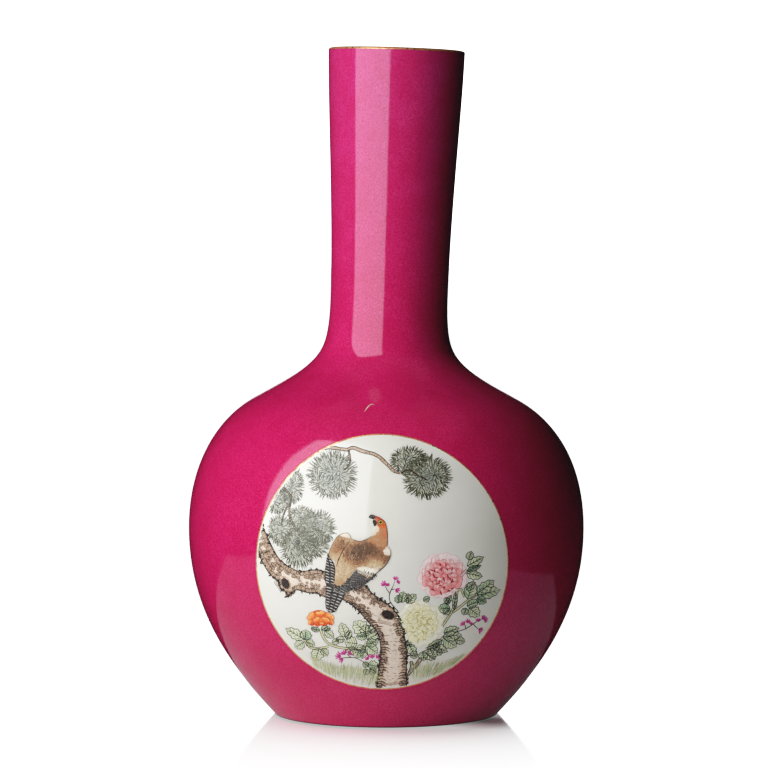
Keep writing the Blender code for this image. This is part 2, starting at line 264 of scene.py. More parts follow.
def specks(tree, scale, size, patches, rarity, most=1.0):
    """Round specks of a size, only where a broad noise passes rarity."""
    cells = add(tree, "ShaderNodeTexVoronoi", metres(tree), Scale=scale).outputs["Distance"]
    rare = ranged(tree, noise(tree, patches), rarity, rarity + 0.04)
    return maths(tree, "MULTIPLY", ranged(tree, cells, size, 0.6 * size, 0.0, most), rare)


def foot_shadow_and_dirt(tree, colour, dark, top):
    """The colour, with painted shadow and dirt below the foot's line, itself from height top."""
    return mixed(tree, ranged(tree, height(tree), FOOT_LINE_HEIGHT, top), dark, colour)


def shaded_as(tree, values):
    """Sets inputs of the Principled shader by name, and returns its output."""
    shader = tree.nodes["Principled BSDF"]
    for key, value in values.items():
        put(tree, shader.inputs[key], value)
    return shader.outputs["BSDF"]


def dress(tree, colour, roughness, relief, depth, **values):
    """A surface's colour and roughness, and a relief whose full range is depth metres."""
    bump = add(tree, "ShaderNodeBump", Height=relief, Strength=1.0, Distance=depth)
    values |= {"Base Color": colour, "Roughness": roughness, "Normal": bump.outputs["Normal"]}
    shaded_as(tree, values)


RUBY_BODY, RUBY_NECK = (0.500, 0.0210, 0.122), (0.470, 0.0420, 0.172)


def ruby_enamel():
    """Stippled ruby enamel: fine grain, clouded depth, purpler up the neck, a few pinholes."""
    material, tree = new_material("ruby_enamel_ground")
    colour = mixed(tree, ranged(tree, height(tree), 0.17, 0.36), RUBY_BODY, RUBY_NECK)
    grain, cloud = noise(tree, 1150.0, 3.0, 0.7), noise(tree, 70.0, 4.0, 0.6)
    for source, none, full, most, tint in (
        (grain, 0.50, 0.36, 0.50, (0.300, 0.008, 0.055)),
        (grain, 0.50, 0.64, 0.42, (0.640, 0.070, 0.220)),
        (cloud, 0.40, 0.62, 0.30, (0.400, 0.013, 0.080)),
    ):
        colour = mixed(tree, ranged(tree, source, none, full, 0.0, most), colour, tint)
    # Painted contact shadow: the coat turns near black along its lowest edge, at the floor.
    colour = foot_shadow_and_dirt(tree, colour, (0.045, 0.010, 0.015), 0.0011)
    pinholes = specks(tree, 150.0, 0.075, 42.0, 0.60)
    colour = mixed(tree, pinholes, colour, (0.090, 0.004, 0.020))
    gloss = ranged(tree, noise(tree, 420.0, 3.0), 0.3, 0.7, 0.055, 0.110)
    relief = mixed(tree, 0.22, noise(tree, 190.0), grain)
    relief = mixed(tree, pinholes, relief, (0.0, 0.0, 0.0))
    dress(tree, colour, gloss, relief, 0.00003, IOR=1.5)
    return material


def white_glaze(name, warm=0.0):
    """Clear glaze over white porcelain: softly clouded, a few iron specks, a gentle ripple."""
    material, tree = new_material(name)
    clean = (0.720 + 0.02 * warm, 0.715, 0.665 - 0.06 * warm)
    cloud = ranged(tree, noise(tree, 55.0, 3.0), 0.35, 0.70)
    colour = mixed(tree, cloud, clean, (0.695, 0.69, 0.635))
    colour = mixed(tree, specks(tree, 95.0, 0.030, 30.0, 0.62, 0.7), colour, (0.22, 0.14, 0.08))
    gloss = ranged(tree, noise(tree, 260.0), 0.3, 0.7, 0.045, 0.085)
    dress(tree, colour, gloss, noise(tree, 160.0), 0.00002, IOR=1.44)
    return material


def gilding():
    """Fired gold, worn to its brown ground in places."""
    material, tree = new_material("worn_gilding")
    wear = ranged(tree, noise(tree, 500.0, 4.0, 0.7), 0.40, 0.60)
    colour = mixed(tree, wear, (0.80, 0.47, 0.22), (0.46, 0.17, 0.11))
    gloss, metal = (ranged(tree, wear, 0.0, 1.0, *ends) for ends in ((0.22, 0.55), (0.85, 0.15)))
    dress(tree, colour, gloss, noise(tree, 1600.0, 3.0), 0.00003, Metallic=metal)
    return material


def bare_clay(name, colour, dirt):
    """Unglazed porcelain: dry, finely gritty and a little stained."""
    material, tree = new_material(name)
    stain = ranged(tree, noise(tree, 120.0, 5.0, 0.65), 0.42, 0.72)
    # At the foot the clay goes near black: some dirt, and a painted contact shadow.
    shade = foot_shadow_and_dirt(tree, mixed(tree, stain, colour, dirt), (0.06, 0.02, 0.02), 0.0012)
    gloss = ranged(tree, stain, 0.0, 1.0, 0.62, 0.85)
    dress(tree, shade, gloss, noise(tree, 2600.0, 4.0, 0.7), 0.00008)
    return material


# --- The turned pieces ---


def new_object(name, data):
    """A new object, linked to the scene."""
    thing = bpy.data.objects.new(name, data)
    bpy.context.scene.collection.objects.link(thing)
    return thing


def link_piece(mesh, name, material, slot, *nodes):
    """Links a finished mesh as a piece that rides on the vase and stands for CAD nodes."""
    piece = new_object(name, mesh)
    mesh.materials.append(material)
    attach(piece, "root")
    if nodes:
        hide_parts(*nodes)
    return piece


def as_mesh(bm, name, crease=35):
    """A mesh from bm, with its faces turned outwards and its smooth stretches shaded smooth."""
    bmesh.ops.remove_doubles(bm, verts=bm.verts, dist=1e-7)
    bmesh.ops.recalc_face_normals(bm, faces=bm.faces)
    mesh = bpy.data.meshes.new(name)
    bm.to_mesh(mesh)
    bm.free()
    mesh.shade_smooth()
    mesh.set_sharp_from_angle(angle=math.radians(crease))
    return mesh


def turned(name, section, segments=SHOWN_SEGMENTS, closed=True, upright=False):
    """The mesh of a section of (radius, height) points turned about +Z, leant unless upright."""
    bm = bmesh.new()
    corners = [bm.verts.new((point.x, 0.0, point.y)) for point in section]
    ends = corners[1:] + corners[:1] if closed else corners[1:]
    edges = [bm.edges.new(pair) for pair in zip(corners, ends)]
    full = {"angle": 2 * math.pi, "steps": segments, "use_merge": True}
    bmesh.ops.spin(bm, geom=corners + edges, cent=(0, 0, 0), axis=(0, 0, 1), **full)
    for vertex in [] if upright else bm.verts:
        vertex.co = lean(vertex.co)
    return as_mesh(bm, name)


def window_cutter():
    """An upright prism through the front wall, whose edge is the window in the ruby ground."""
    grow = 2 * GILT_LINE_GAP + GILT_LINE_WIDTH
    bm = bmesh.new()
    corners = []
    for index in range(PANEL_SPOKES):
        u, v = on_ring(index, PANEL_SPOKES, grow=grow)
        corners.append(bm.verts.new((PANEL_X + u, -BELLY_RADIUS * 1.2, PANEL_Z + v)))
    made = bmesh.ops.extrude_face_region(bm, geom=[bm.faces.new(corners)])
    moved = [item for item in made["geom"] if isinstance(item, bmesh.types.BMVert)]
    bmesh.ops.translate(bm, verts=moved, vec=(0, BELLY_RADIUS * 0.9, 0))
    return new_object("window_cutter", as_mesh(bm, "window_cutter"))


def polished(mesh):
    """Gives the turned outer surface of an upright mesh its exact normals, then leans it."""
    exact = {}
    for vertex in mesh.vertices:
        x, y, z = vertex.co
        radius, normal = at_height(z)
        if abs(math.hypot(x, y) - radius) < COAT_THICKNESS / 5:
            raised = vertex.co + outward(x, y, radius, normal) * MM
            exact[vertex.index] = (lean(raised) - lean(vertex.co)).normalized()
    for vertex in mesh.vertices:
        vertex.co = lean(vertex.co)
    mesh.update()
    normals = []
    for face in mesh.polygons:
        outer = all(corner in exact for corner in face.vertices)
        normals += [exact[corner] if outer else face.normal for corner in face.vertices]
    mesh.normals_split_custom_set(normals)


def ruby_ground(material):
    """The ruby coat from lip to foot in one piece, with the round window cut through it."""
    section = layer(0.0, COAT_THICKNESS, MOUTH_HEIGHT - GILT_CAP_HEIGHT - FIT_GAP / 3, COAT_BOTTOM)
    mesh = turned("ruby_ground", section, upright=True)
    nodes = ("body_ruby_ground", "neck_ruby_ground")
    piece = link_piece(mesh, "ruby_ground", material, "ruby_enamel", *nodes)
    cutter = window_cutter()
    boolean = piece.modifiers.new("window", "BOOLEAN")
    boolean.object, boolean.operation, boolean.solver = cutter, "DIFFERENCE", "EXACT"
    bpy.context.view_layer.update()
    evaluated = piece.evaluated_get(bpy.context.evaluated_depsgraph_get())
    cut = bpy.data.meshes.new_from_object(evaluated)
    piece.modifiers.clear()
    polished(cut)
    piece.data = cut
    bpy.data.objects.remove(cutter)


def white_panel(material):
    """The round panel of glaze, as rings that follow the belly, with a turned-down edge."""
    bm = bmesh.new()
    middle = bm.verts.new(on_front(0, 0, 0))
    rings = []
    for ring in range(1, PANEL_RINGS + 2):
        share = min(ring / PANEL_RINGS, 1.0)
        lift = -COAT_THICKNESS if ring > PANEL_RINGS else 0.0
        places = [on_ring(index, PANEL_SPOKES, share) for index in range(PANEL_SPOKES)]
        rings.append([bm.verts.new(on_front(u, v, lift)) for u, v in places])
    for index in range(PANEL_SPOKES):
        after = (index + 1) % PANEL_SPOKES
        bm.faces.new((middle, rings[0][index], rings[0][after]))
        for inner, outer in zip(rings, rings[1:]):
            bm.faces.new((inner[index], outer[index], outer[after], inner[after]))
    mesh = as_mesh(bm, "white_panel")
    link_piece(mesh, "white_panel", material, "clear_glaze", "medallion_white_panel")


def gilt_line(material):
    """The hand-drawn gold line round the panel: a low ridge whose width wanders."""
    bm = bmesh.new()
    rings = []
    steps = 2 * PANEL_SPOKES
    wander = [uniform(0.95, 1.20) for _ in range(24)]
    middle = GILT_LINE_GAP + GILT_LINE_WIDTH / 2
    for index in range(steps):
        beat = index / steps * len(wander)
        here, share = int(beat), beat - int(beat)
        width = wander[here] * (1 - share) + wander[(here + 1) % len(wander)] * share
        ring = []
        for out, lift in GILT_LINE_PROFILE:
            u, v = on_ring(index, steps, grow=middle + width * middle * out)
            ring.append(bm.verts.new(on_front(u, v, lift * GILT_LINE_HEIGHT)))
        rings.append(ring)
    for ring, after in zip(rings, rings[1:] + rings[:1]):
        for side in range(len(ring)):
            other = (side + 1) % len(ring)
            bm.faces.new((ring[side], ring[other], after[other], after[side]))
    mesh = as_mesh(bm, "gilt_line", crease=60)
    link_piece(mesh, "gilt_line", material, "gilding", "medallion_gilt_line")


def gilt_lip(material):
    """The gilding over the rounded lip."""
    half = LIP_THICKNESS / 2
    section = []
    for step in range(LIP_STEPS + 1):
        turn = math.pi * step / LIP_STEPS
        radius = MOUTH_RADIUS - half + half * math.cos(turn)
        z = MOUTH_HEIGHT - GILT_CAP_HEIGHT + GILT_CAP_HEIGHT * math.sin(turn)
        section.append(Vector((radius, z)))
    link_piece(turned("gilt_lip", section), "gilt_lip", material, "gilding", "mouth_gilt_band")


def hollow(depth, high):
    """The hollow's outline at a depth, from height high, round the turn, to the floor's middle."""
    wall = stretch(depth, high, HOLLOW_TURN_HEIGHT)
    floor = FOOT_JOINT + SLIP_THICKNESS + FIT_GAP + FLOOR_THICKNESS + (depth - HOLLOW_DEPTH)
    edge = wall[-1]
    for step in range(1, HOLLOW_TURN_STEPS + 1):
        turn = math.pi / 2 * step / HOLLOW_TURN_STEPS
        radius = 0.0 if step == HOLLOW_TURN_STEPS else edge.x * math.cos(turn)
        wall.append(Vector((radius, edge.y - (edge.y - floor) * math.sin(turn))))
    return wall


def inner_glaze(material):
    """The clear glaze of the hollow, down the bore and the belly and across the floor."""
    high = MOUTH_HEIGHT - GILT_CAP_HEIGHT - FIT_GAP / 3
    shown = hollow(INNER_GLAZE_DEPTH + INNER_GLAZE_THICKNESS, high)
    section = hollow(INNER_GLAZE_DEPTH - FIT_GAP / 2, high)[::-1] + shown
    mesh = turned("inner_glaze", section, closed=False)
    nodes = ("neck_inner_glaze", "body_inner_glaze")
    link_piece(mesh, "inner_glaze", material, "clear_glaze", *nodes)


def clay_sections(clay, slip):
    """The thrown clay under the coats, in the sections that were luted together with slip."""

    def wall(high, low):
        return layer(CLAY_DEPTH, HOLLOW_DEPTH, high, low)

    seam = SLIP_THICKNESS + FIT_GAP
    neck_top = MOUTH_HEIGHT - GILT_CAP_HEIGHT - FIT_GAP
    top, base = BELLY_JOINT - FIT_GAP, FOOT_JOINT + SLIP_THICKNESS + FIT_GAP
    pot = hollow(HOLLOW_DEPTH, top)[::-1] + stretch(CLAY_DEPTH, top, base) + [Vector((0.0, base))]
    for node, added, section in (
        ("neck", "_clay", wall(neck_top, NECK_JOINT + seam)),
        ("shoulder_section", "_clay", wall(NECK_JOINT - FIT_GAP, BELLY_JOINT + seam)),
        ("lower_body", "_clay", pot),
        ("belly_slip_seam", "_bead", wall(BELLY_JOINT + SLIP_THICKNESS, BELLY_JOINT)),
        ("neck_slip_seam", "_bead", wall(NECK_JOINT + SLIP_THICKNESS, NECK_JOINT)),
    ):
        name = node + added
        mesh = turned(name, section, HIDDEN_SEGMENTS, closed=section is not pot)
        material, slot = (clay, "biscuit") if added == "_clay" else (slip, "slip")
        link_piece(mesh, name, material, slot, node)


def foot(clay, slip, glaze):
    """The unglazed foot ring, the slip above it and the glazed disc inside it."""
    top, high = FOOT_JOINT - FIT_GAP, FOOT_JOINT + SLIP_THICKNESS
    bottom = high - BASE_GLAZE_THICKNESS
    ring = [
        (FOOT_FACE_OUTER_RADIUS + FOOT_EASE_WIDTH, FOOT_EASE_HEIGHT),
        (FOOT_FACE_OUTER_RADIUS, 0.0),
        (FOOT_FACE_INNER_RADIUS, 0.0),
        (FOOT_FACE_INNER_RADIUS - FOOT_EASE_WIDTH, FOOT_EASE_HEIGHT),
        (FOOT_INNER_RADIUS, FOOT_CHAMFER_HEIGHT),
        (FOOT_INNER_RADIUS, top),
    ]
    bead = [(FOOT_INNER_RADIUS, FOOT_JOINT), (FOOT_INNER_RADIUS, high)]
    disc = [
        (0.0, high), (BASE_GLAZE_RADIUS, high), (BASE_GLAZE_RADIUS, bottom),
        (BASE_GLAZE_RADIUS * 0.6, bottom), (0.0, bottom),
    ]
    for name, outer, inner, looks in (
        ("foot_ring_clay", stretch(CLAY_DEPTH, top, FOOT_CHAMFER_HEIGHT), ring,
         (clay, "biscuit", "foot_ring")),
        ("foot_slip_bead", stretch(CLAY_DEPTH, high, FOOT_JOINT), bead,
         (slip, "slip", "foot_slip_seam")),
        ("base_glaze_disc", [], disc, (glaze, "clear_glaze", "base_glaze")),
    ):
        section = outer + [Vector(corner) for corner in inner]
        link_piece(turned(name, section, closed=bool(outer)), name, *looks)


# --- The painting: thin enamels laid on the panel, drawn in millimetres from its middle ---

# Lifts above the glaze, in millimetres, from the first wash to the last touch, how far the rim
# of a stroke or fill lies below its top, and how much higher the hawk's pieces lie.
WASH, FILL, OVER, LINE, TOUCH = 0.03, 0.07, 0.12, 0.16, 0.20
RIDGE = 0.05
ABOVE_BOUGH = 0.20
# The widest gap between the places inside a fill, and how far the painting stays inside the
# panel's rim.
FILL_GRID, EDGE_MARGIN = 2.4, 0.5


def flowing(line, step=1.2, closed=False):
    """Points every step millimetres or less along a smooth curve through line."""
    knots = [Vector(point) for point in line]
    last = len(knots) - 1
    points = []
    for index in range(last + 1 if closed else last):
        around = range(index - 1, index + 3)
        if closed:
            a, b, c, d = (knots[i % (last + 1)] for i in around)
        else:
            a, b, c, d = (knots[min(max(i, 0), last)] for i in around)
        parts = max(1, math.ceil((c - b).length / step))
        for part in range(parts):
            t = part / parts
            bend = (a * 2 - b * 5 + c * 4 - d) * t * t + (b * 3 - a + d - c * 3) * t**3
            points.append(b + ((c - a) * t + bend) / 2)
    return points if closed else points + [knots[-1]]


def beside(line, gap):
    """The smooth line moved sideways by gap."""
    path = flowing(line)
    return [point + sideways(path, index) * gap for index, point in enumerate(path)]


def on_panel(point):
    """Whether a place lies on the round panel, clear of its gilt edge."""
    wide = point.x / (PANEL_HALF_WIDTH / MM - EDGE_MARGIN)
    high = point.y / (PANEL_HALF_HEIGHT / MM - EDGE_MARGIN)
    return wide * wide + high * high < 1


def within(point, edge):
    """Whether point lies inside a closed edge."""
    inside = False
    for (ax, ay), (bx, by) in zip(edge, (*edge[1:], edge[0])):
        if (ay > point.y) != (by > point.y):
            if point.x < ax + (point.y - ay) * (bx - ax) / (by - ay):
                inside = not inside
    return inside


def polar(angle, reach=1.0):
    """The place at this angle and reach from the origin."""
    return Vector((math.cos(angle), math.sin(angle))) * reach


def drift(reach):
    """A step of this reach in a random direction."""
    return polar(uniform(0, 6.3), reach)


def between(start, end, share):
    """The place at this share of the way from start to end."""
    return Vector(start).lerp(Vector(end), share)


def shaded(edge, depth, near, far):
    """A tone that runs from near at the edge to far at this depth inside it."""
    sides = [(Vector(a), Vector(b)) for a, b in zip(edge, edge[1:] + edge[:1])]

    def tone(point):
        gaps = []
        for a, b in sides:
            share = geometry.intersect_point_line(point, a, b)[1]
            gaps.append((point - a.lerp(b, min(max(share, 0.0), 1.0))).length)
        return near + (far - near) * min(min(gaps) / depth, 1.0)

    return tone


def spots(point, *places):
    """The sum of soft round spots at a point. Each has its middle, its reach and its depth."""
    parts = []
    for u, v, reach, depth in places:
        parts.append(depth * math.exp(-(((point - Vector((u, v))).length / reach) ** 2)))
    return sum(parts)


class Enamel:
    """One piece of the painting: strokes and fills, with a tone from 0 to 1 at each point."""

    def __init__(self, slot="bark_enamel", rise=0.0):
        self.slot, self.rise = slot, rise
        self.points, self.faces, self.tones = [], [], []

    def place(self, point, lift, tone):
        """Adds a point of the surface and returns its number."""
        self.points.append(on_front(point.x * MM, point.y * MM, (lift + self.rise) * MM))
        self.tones.append(tone)
        return len(self.points) - 1

    def stroke(self, line, width, tone=0.5, lift=LINE, ends=(0.35, 0.35), anywhere=False):
        """A brush line: a low ridge that thins to these shares of its width at its ends."""
        path = [point for point in flowing(line) if anywhere or on_panel(point)]
        last = len(path) - 1
        rows = []
        for index, point in enumerate(path if last > 0 else []):
            start = ends[0] + (1 - ends[0]) * 3 * index / last
            stop = ends[1] + (1 - ends[1]) * 3 * (last - index) / last
            across = sideways(path, index) * (width / 2 * min(1.0, start, stop))
            row = ((point + across, lift - RIDGE), (point, lift), (point - across, lift - RIDGE))
            rows.append([self.place(place, high, tone) for place, high in row])
        for here, after in zip(rows, rows[1:]):
            for side in (0, 1):
                self.faces.append((here[side], here[side + 1], after[side + 1], after[side]))

    def fill(self, edge, tone=0.5, lift=FILL, rim=None):
        """A flat of enamel inside a closed edge. tone is a number or a function of the place."""
        outline = [point for point in flowing(edge, closed=True) if on_panel(point)]
        if len(outline) < 3:
            return
        low = Vector((min(p.x for p in outline), min(p.y for p in outline)))
        size = Vector((max(p.x for p in outline), max(p.y for p in outline))) - low
        columns, rows = (max(1, math.ceil(extent / FILL_GRID)) for extent in size)
        inner = []
        for i in range(columns):
            across = size.x * (i + 0.5) / columns
            inner += [low + Vector((across, size.y * (j + 0.5) / rows)) for j in range(rows)]
        loop = list(range(len(outline)))
        cut = geometry.delaunay_2d_cdt(outline + inner, [], [loop], 1, 1e-5)
        places, faces, origins = cut[0], cut[2], cut[3]
        numbers = {}
        for corner in sorted({corner for face in faces for corner in face}):
            on_edge = any(origin < len(outline) for origin in origins[corner])
            value = tone(places[corner]) if callable(tone) else tone
            if on_edge and rim is not None:
                value = rim
            high = lift - RIDGE if on_edge else lift
            numbers[corner] = self.place(places[corner], high, value)
        self.faces += [tuple(numbers[corner] for corner in face) for face in faces]

    def dot(self, middle, radius, tone=0.5, lift=TOUCH, squash=1.0, tilt=0.0):
        """A round or oval touch of the brush."""
        middle, out = Vector(middle), polar(tilt)
        corners = []
        for index in range(10):
            ray = polar(math.pi / 5 * index, radius)
            spot = middle + out * ray.x + left_of(out) * ray.y * squash
            corners.append(self.place(spot, lift - RIDGE, tone))
        heart = self.place(middle, lift, tone)
        self.faces += [(heart, *pair) for pair in zip(corners, corners[1:] + corners[:1])]

    def build(self, name, material, *nodes):
        """Makes the piece's mesh and links it."""
        mesh = bpy.data.meshes.new(name)
        mesh.from_pydata(self.points, [], self.faces)
        mesh.attributes.new("tone", "FLOAT", "POINT").data.foreach_set("value", self.tones)
        mesh.shade_smooth()
        link_piece(mesh, name, material, self.slot, *nodes)


def enamel(name, low, middle, high, speckle=0.12):
    """Painted enamel that runs through three colours by tone, with the brush's unevenness."""
    material, tree = new_material(name)
    tone = add(tree, "ShaderNodeAttribute", attribute_name="tone").outputs["Fac"]
    uneven = ranged(tree, noise(tree, 700.0, 3.0, 0.6), 0.3, 0.7, -speckle, speckle)
    level = maths(tree, "ADD", tone, uneven)
    colour = mixed(tree, ranged(tree, level, 0.0, 0.5), low, middle)
    colour = mixed(tree, ranged(tree, level, 0.5, 1.0), colour, high)
    gloss = ranged(tree, noise(tree, 500.0), 0.3, 0.7, 0.18, 0.36)
    dress(tree, colour, gloss, noise(tree, 1100.0, 3.0), 0.00002)
    return material


# Balls of pine needles: how dark each piece is, and each ball's middle, half width and height.
NEEDLE_BALLS = {
    "pine_needles_top": (0.02, (-27.0, 49.0, 14.2, 13.5)),
    "pine_needles_right": (-0.03, (14.5, 57.0, 10.5, 8.0), (24.5, 48.0, 14.0, 12.5)),
    "pine_needles_left": (0.02, (-49.5, 43.0, 7.2, 11.0), (-57.5, 34.5, 7.2, 8.0)),
    "pine_needles_middle": (
        -0.05, (-43.5, 25.0, 9.0, 7.5), (-55.5, 18.5, 7.5, 9.0), (-35.5, 20.5, 11.0, 10.0),
        (-38.0, 12.5, 10.0, 9.5), (-45.5, 9.5, 11.0, 12.0),
    ),
}
NEEDLE_PITCH, RIM_NEEDLE_PITCH = 1.02, 0.88


def needle_ball(needles, wash, dark, u, v, wide, high):
    """A ball: a wash, short strokes about a few crossing hearts, and a rim of longer ones."""

    def spot(angle, share):
        return Vector((u, v)) + Vector((math.cos(angle) * wide, math.sin(angle) * high)) * share

    edge = [spot(math.pi * i / 8, 0.80) for i in range(16)]
    wash.fill(edge, shaded(edge, 6.0, 0.15, 0.75), lift=WASH, rim=0.0)
    hearts = [spot(uniform(0, 6.3), uniform(0.1, 0.65)) for _ in range(4)]
    rows, columns = int(high / NEEDLE_PITCH), int(wide / NEEDLE_PITCH)
    for row in range(-rows, rows + 1):
        for column in range(-columns, columns + 1):
            offset = Vector((column + 0.5 * (row % 2), row)) * NEEDLE_PITCH
            if math.hypot(offset.x / wide, offset.y / high) > 0.84:
                continue
            point = Vector((u, v)) + offset + drift(0.35)
            away = point - min(hearts, key=lambda heart: (heart - point).length)
            turn = math.atan2(away.y, away.x) + uniform(-0.5, 0.5)
            half = polar(turn, uniform(0.75, 1.25))
            line = [point - half, point + polar(turn + 1.57, uniform(-0.25, 0.25)), point + half]
            tone = uniform(0.20, 1.00) + dark
            needles.stroke(line, uniform(0.30, 0.46), tone, ends=(0.7, 0.4))
    count = int(math.pi * (wide + high) / RIM_NEEDLE_PITCH)
    for index in range(count):
        angle = 2 * math.pi * (index + uniform(-0.3, 0.3)) / count
        bent = angle + uniform(-0.14, 0.14)
        inner, outer = uniform(0.62, 0.76), uniform(0.92, 1.06)
        line = [spot(angle, inner), spot((angle + bent) / 2, 0.87), spot(bent, outer)]
        tone = uniform(0.45, 0.85) + dark
        needles.stroke(line, uniform(0.32, 0.46), tone, ends=(0.8, 0.35))


def pine_needles():
    """The balls of needles, olive at the right and grey elsewhere, over a pale wash."""
    grey = enamel("needle_enamel", (0.44, 0.44, 0.365), (0.15, 0.155, 0.12), (0.045, 0.048, 0.04))
    olives = ((0.42, 0.41, 0.29), (0.105, 0.108, 0.068), (0.024, 0.026, 0.02))
    olive = enamel("olive_needle_enamel", *olives)
    pales = ((0.66, 0.66, 0.56), (0.47, 0.48, 0.425), (0.30, 0.335, 0.315))
    wash = Enamel()
    for name, (dark, *balls) in NEEDLE_BALLS.items():
        needles = Enamel()
        for ball in balls:
            needle_ball(needles, wash, dark, *ball)
        needles.build(name, olive if name == "pine_needles_right" else grey)
    wash.build("pine_needle_wash", enamel("needle_wash_enamel", *pales))


# The thin branches of the pine: the width, then the points, of each.
PINE_TWIGS = (
    (
        1.35, (-34.0, 62.0), (-28.5, 63.5), (-20.0, 62.5), (-16.0, 63.5), (-11.0, 62.0),
        (-4.0, 60.3), (-0.3, 57.8), (4.0, 53.7), (7.0, 51.2), (10.5, 50.5),
    ),
    (0.6, (-18.3, 62.5), (-17.6, 58.5), (-17.8, 54.5), (-20.8, 52.0)),
    (
        0.7, (-56.0, 43.8), (-50.7, 38.2), (-49.8, 35.8), (-50.7, 30.0), (-49.7, 23.8),
        (-45.8, 18.5),
    ),
    (0.4, (-51.5, 32.0), (-53.7, 27.4), (-55.0, 21.0)),
    (0.4, (10.5, 50.5), (15.0, 52.0), (19.0, 49.5), (24.5, 46.5)),
)


def pine_twigs(bark, ink):
    """The thin branches: a pale flat between two broken brown lines, with knots and ticks."""
    flat, lines = Enamel(), Enamel()
    for width, *line in PINE_TWIGS:
        flat.stroke(line, width * 1.1, 0.60, lift=OVER, ends=(1.0, 0.5))
        for side in (-0.55, 0.55):
            path = [point + drift(0.15) for point in beside(line, side * width)]
            lines.stroke(path[::2] + path[-1:], 0.46, uniform(0.9, 1.0), ends=(1.0, 0.6))
        for point in flowing(line, step=1.7)[1:-1]:
            tick = polar(uniform(0, 6.3), uniform(0.3, 1.1))
            lines.stroke([point - tick / 2, point + tick], 0.40, uniform(0.7, 1.0))
    flat.build("pine_branch_flat", bark)
    lines.build("pine_branch_lines", ink)


# The bough and trunk: one limb whose upper edge runs left to right and down, and lower edge back.
LIMB_UPPER = (
    (-68.0, 24.0), (-65.6, 20.0), (-62.0, 12.7), (-57.7, 4.5), (-54.5, 1.0), (-49.2, -2.3),
    (-44.4, -3.6), (-35.4, -2.4), (-31.3, -3.3), (-22.0, -6.0), (-14.0, -8.0), (-9.8, -10.2),
    (-6.0, -14.2), (0.2, -19.0), (4.5, -22.0), (9.0, -28.0), (11.2, -35.0), (12.8, -42.0),
    (13.6, -50.0), (13.4, -58.0), (13.5, -70.0),
)
LIMB_LOWER = (
    (-3.0, -70.0), (-1.8, -58.0), (-0.7, -46.0), (-2.6, -37.0), (-7.8, -30.7), (-14.6, -23.0),
    (-22.0, -18.5), (-30.2, -17.7), (-35.5, -15.7), (-40.8, -15.4), (-46.6, -14.1),
    (-49.8, -16.4), (-51.4, -18.3), (-53.0, -15.6), (-55.6, -13.5), (-57.2, -10.0),
    (-62.5, -5.0), (-67.3, 3.3), (-70.0, 9.0),
)
# Its knots: middle, radius, squash and tilt.
LIMB_KNOTS = ((-52.9, -10.9, 2.9, 0.66, 2.0), (3.3, -26.9, 3.5, 0.64, 2.75))
TRUNK_TOP = -20.0
# Rows of bark scales: how far inside the edge, the scales' size, and the share left out.
BARK_ROWS = ((1.4, 1.20, 0.0), (3.4, 1.05, 0.28), (5.0, 0.85, 0.72))


def by_knot(point):
    """Whether a place is on or near one of the limb's knots."""
    return any((point - Vector(knot[:2])).length < knot[2] + 2.2 for knot in LIMB_KNOTS)


def bark_scales(scales, line):
    """Crowded rows of rounded bark scales just inside an edge of the limb, fewer on the trunk."""
    for inset, size, gaps in BARK_ROWS:
        for point in flowing(beside(line, -inset), step=2.3):
            left_out = gaps + 0.6 if point.y < TRUNK_TOP - 8.0 else gaps
            if by_knot(point) or random.random() < left_out:
                continue
            middle = point + drift(0.25)
            reach = size * uniform(0.85, 1.15)
            turn = uniform(0, 6.3)
            ring = [middle + polar(turn + part * 1.05, reach) for part in range(6)]
            scales.fill(ring, uniform(0.0, 0.10), lift=OVER, rim=0.26)
            scales.stroke(ring[: random.randint(4, 6)], 0.32, uniform(0.60, 0.95))


def trunk_ribs(scales, line, inward):
    """Comb-like ribs that run into the trunk from one of its edges."""
    for point in flowing(line, step=1.7):
        if point.y > TRUNK_TOP + 1.0 or by_knot(point):
            continue
        reach, dip = uniform(2.6, 5.6), uniform(-1.0, 0.6)
        bend = point + Vector((inward * reach * 0.5, 0.7 + dip * 0.3))
        end = point + Vector((inward * reach, dip))
        scales.stroke([point, bend, end], uniform(0.45, 0.70), 0.75, ends=(1.0, 0.25))
        if random.random() < 0.5:
            far = end + Vector((inward * uniform(0.4, 1.4), 0.6))
            scales.stroke([far, far + Vector((inward * 1.6, -0.2))], 0.32, 0.45)


def lichen_tufts(lichen, line):
    """Black tufts that bristle from an edge of the limb, in broken runs."""
    run_on = True
    for point in flowing(line, step=0.75):
        if random.random() < 0.16:
            run_on = not run_on
        if not run_on and random.random() < 0.75:
            continue
        out = uniform(0, 6.3)
        spot = point + drift(0.3)
        tip = spot + polar(out, uniform(0.9, 1.9))
        width = uniform(0.50, 0.90)
        lichen.stroke([spot, tip], width, uniform(0.6, 1.0), TOUCH, ends=(0.9, 0.5))


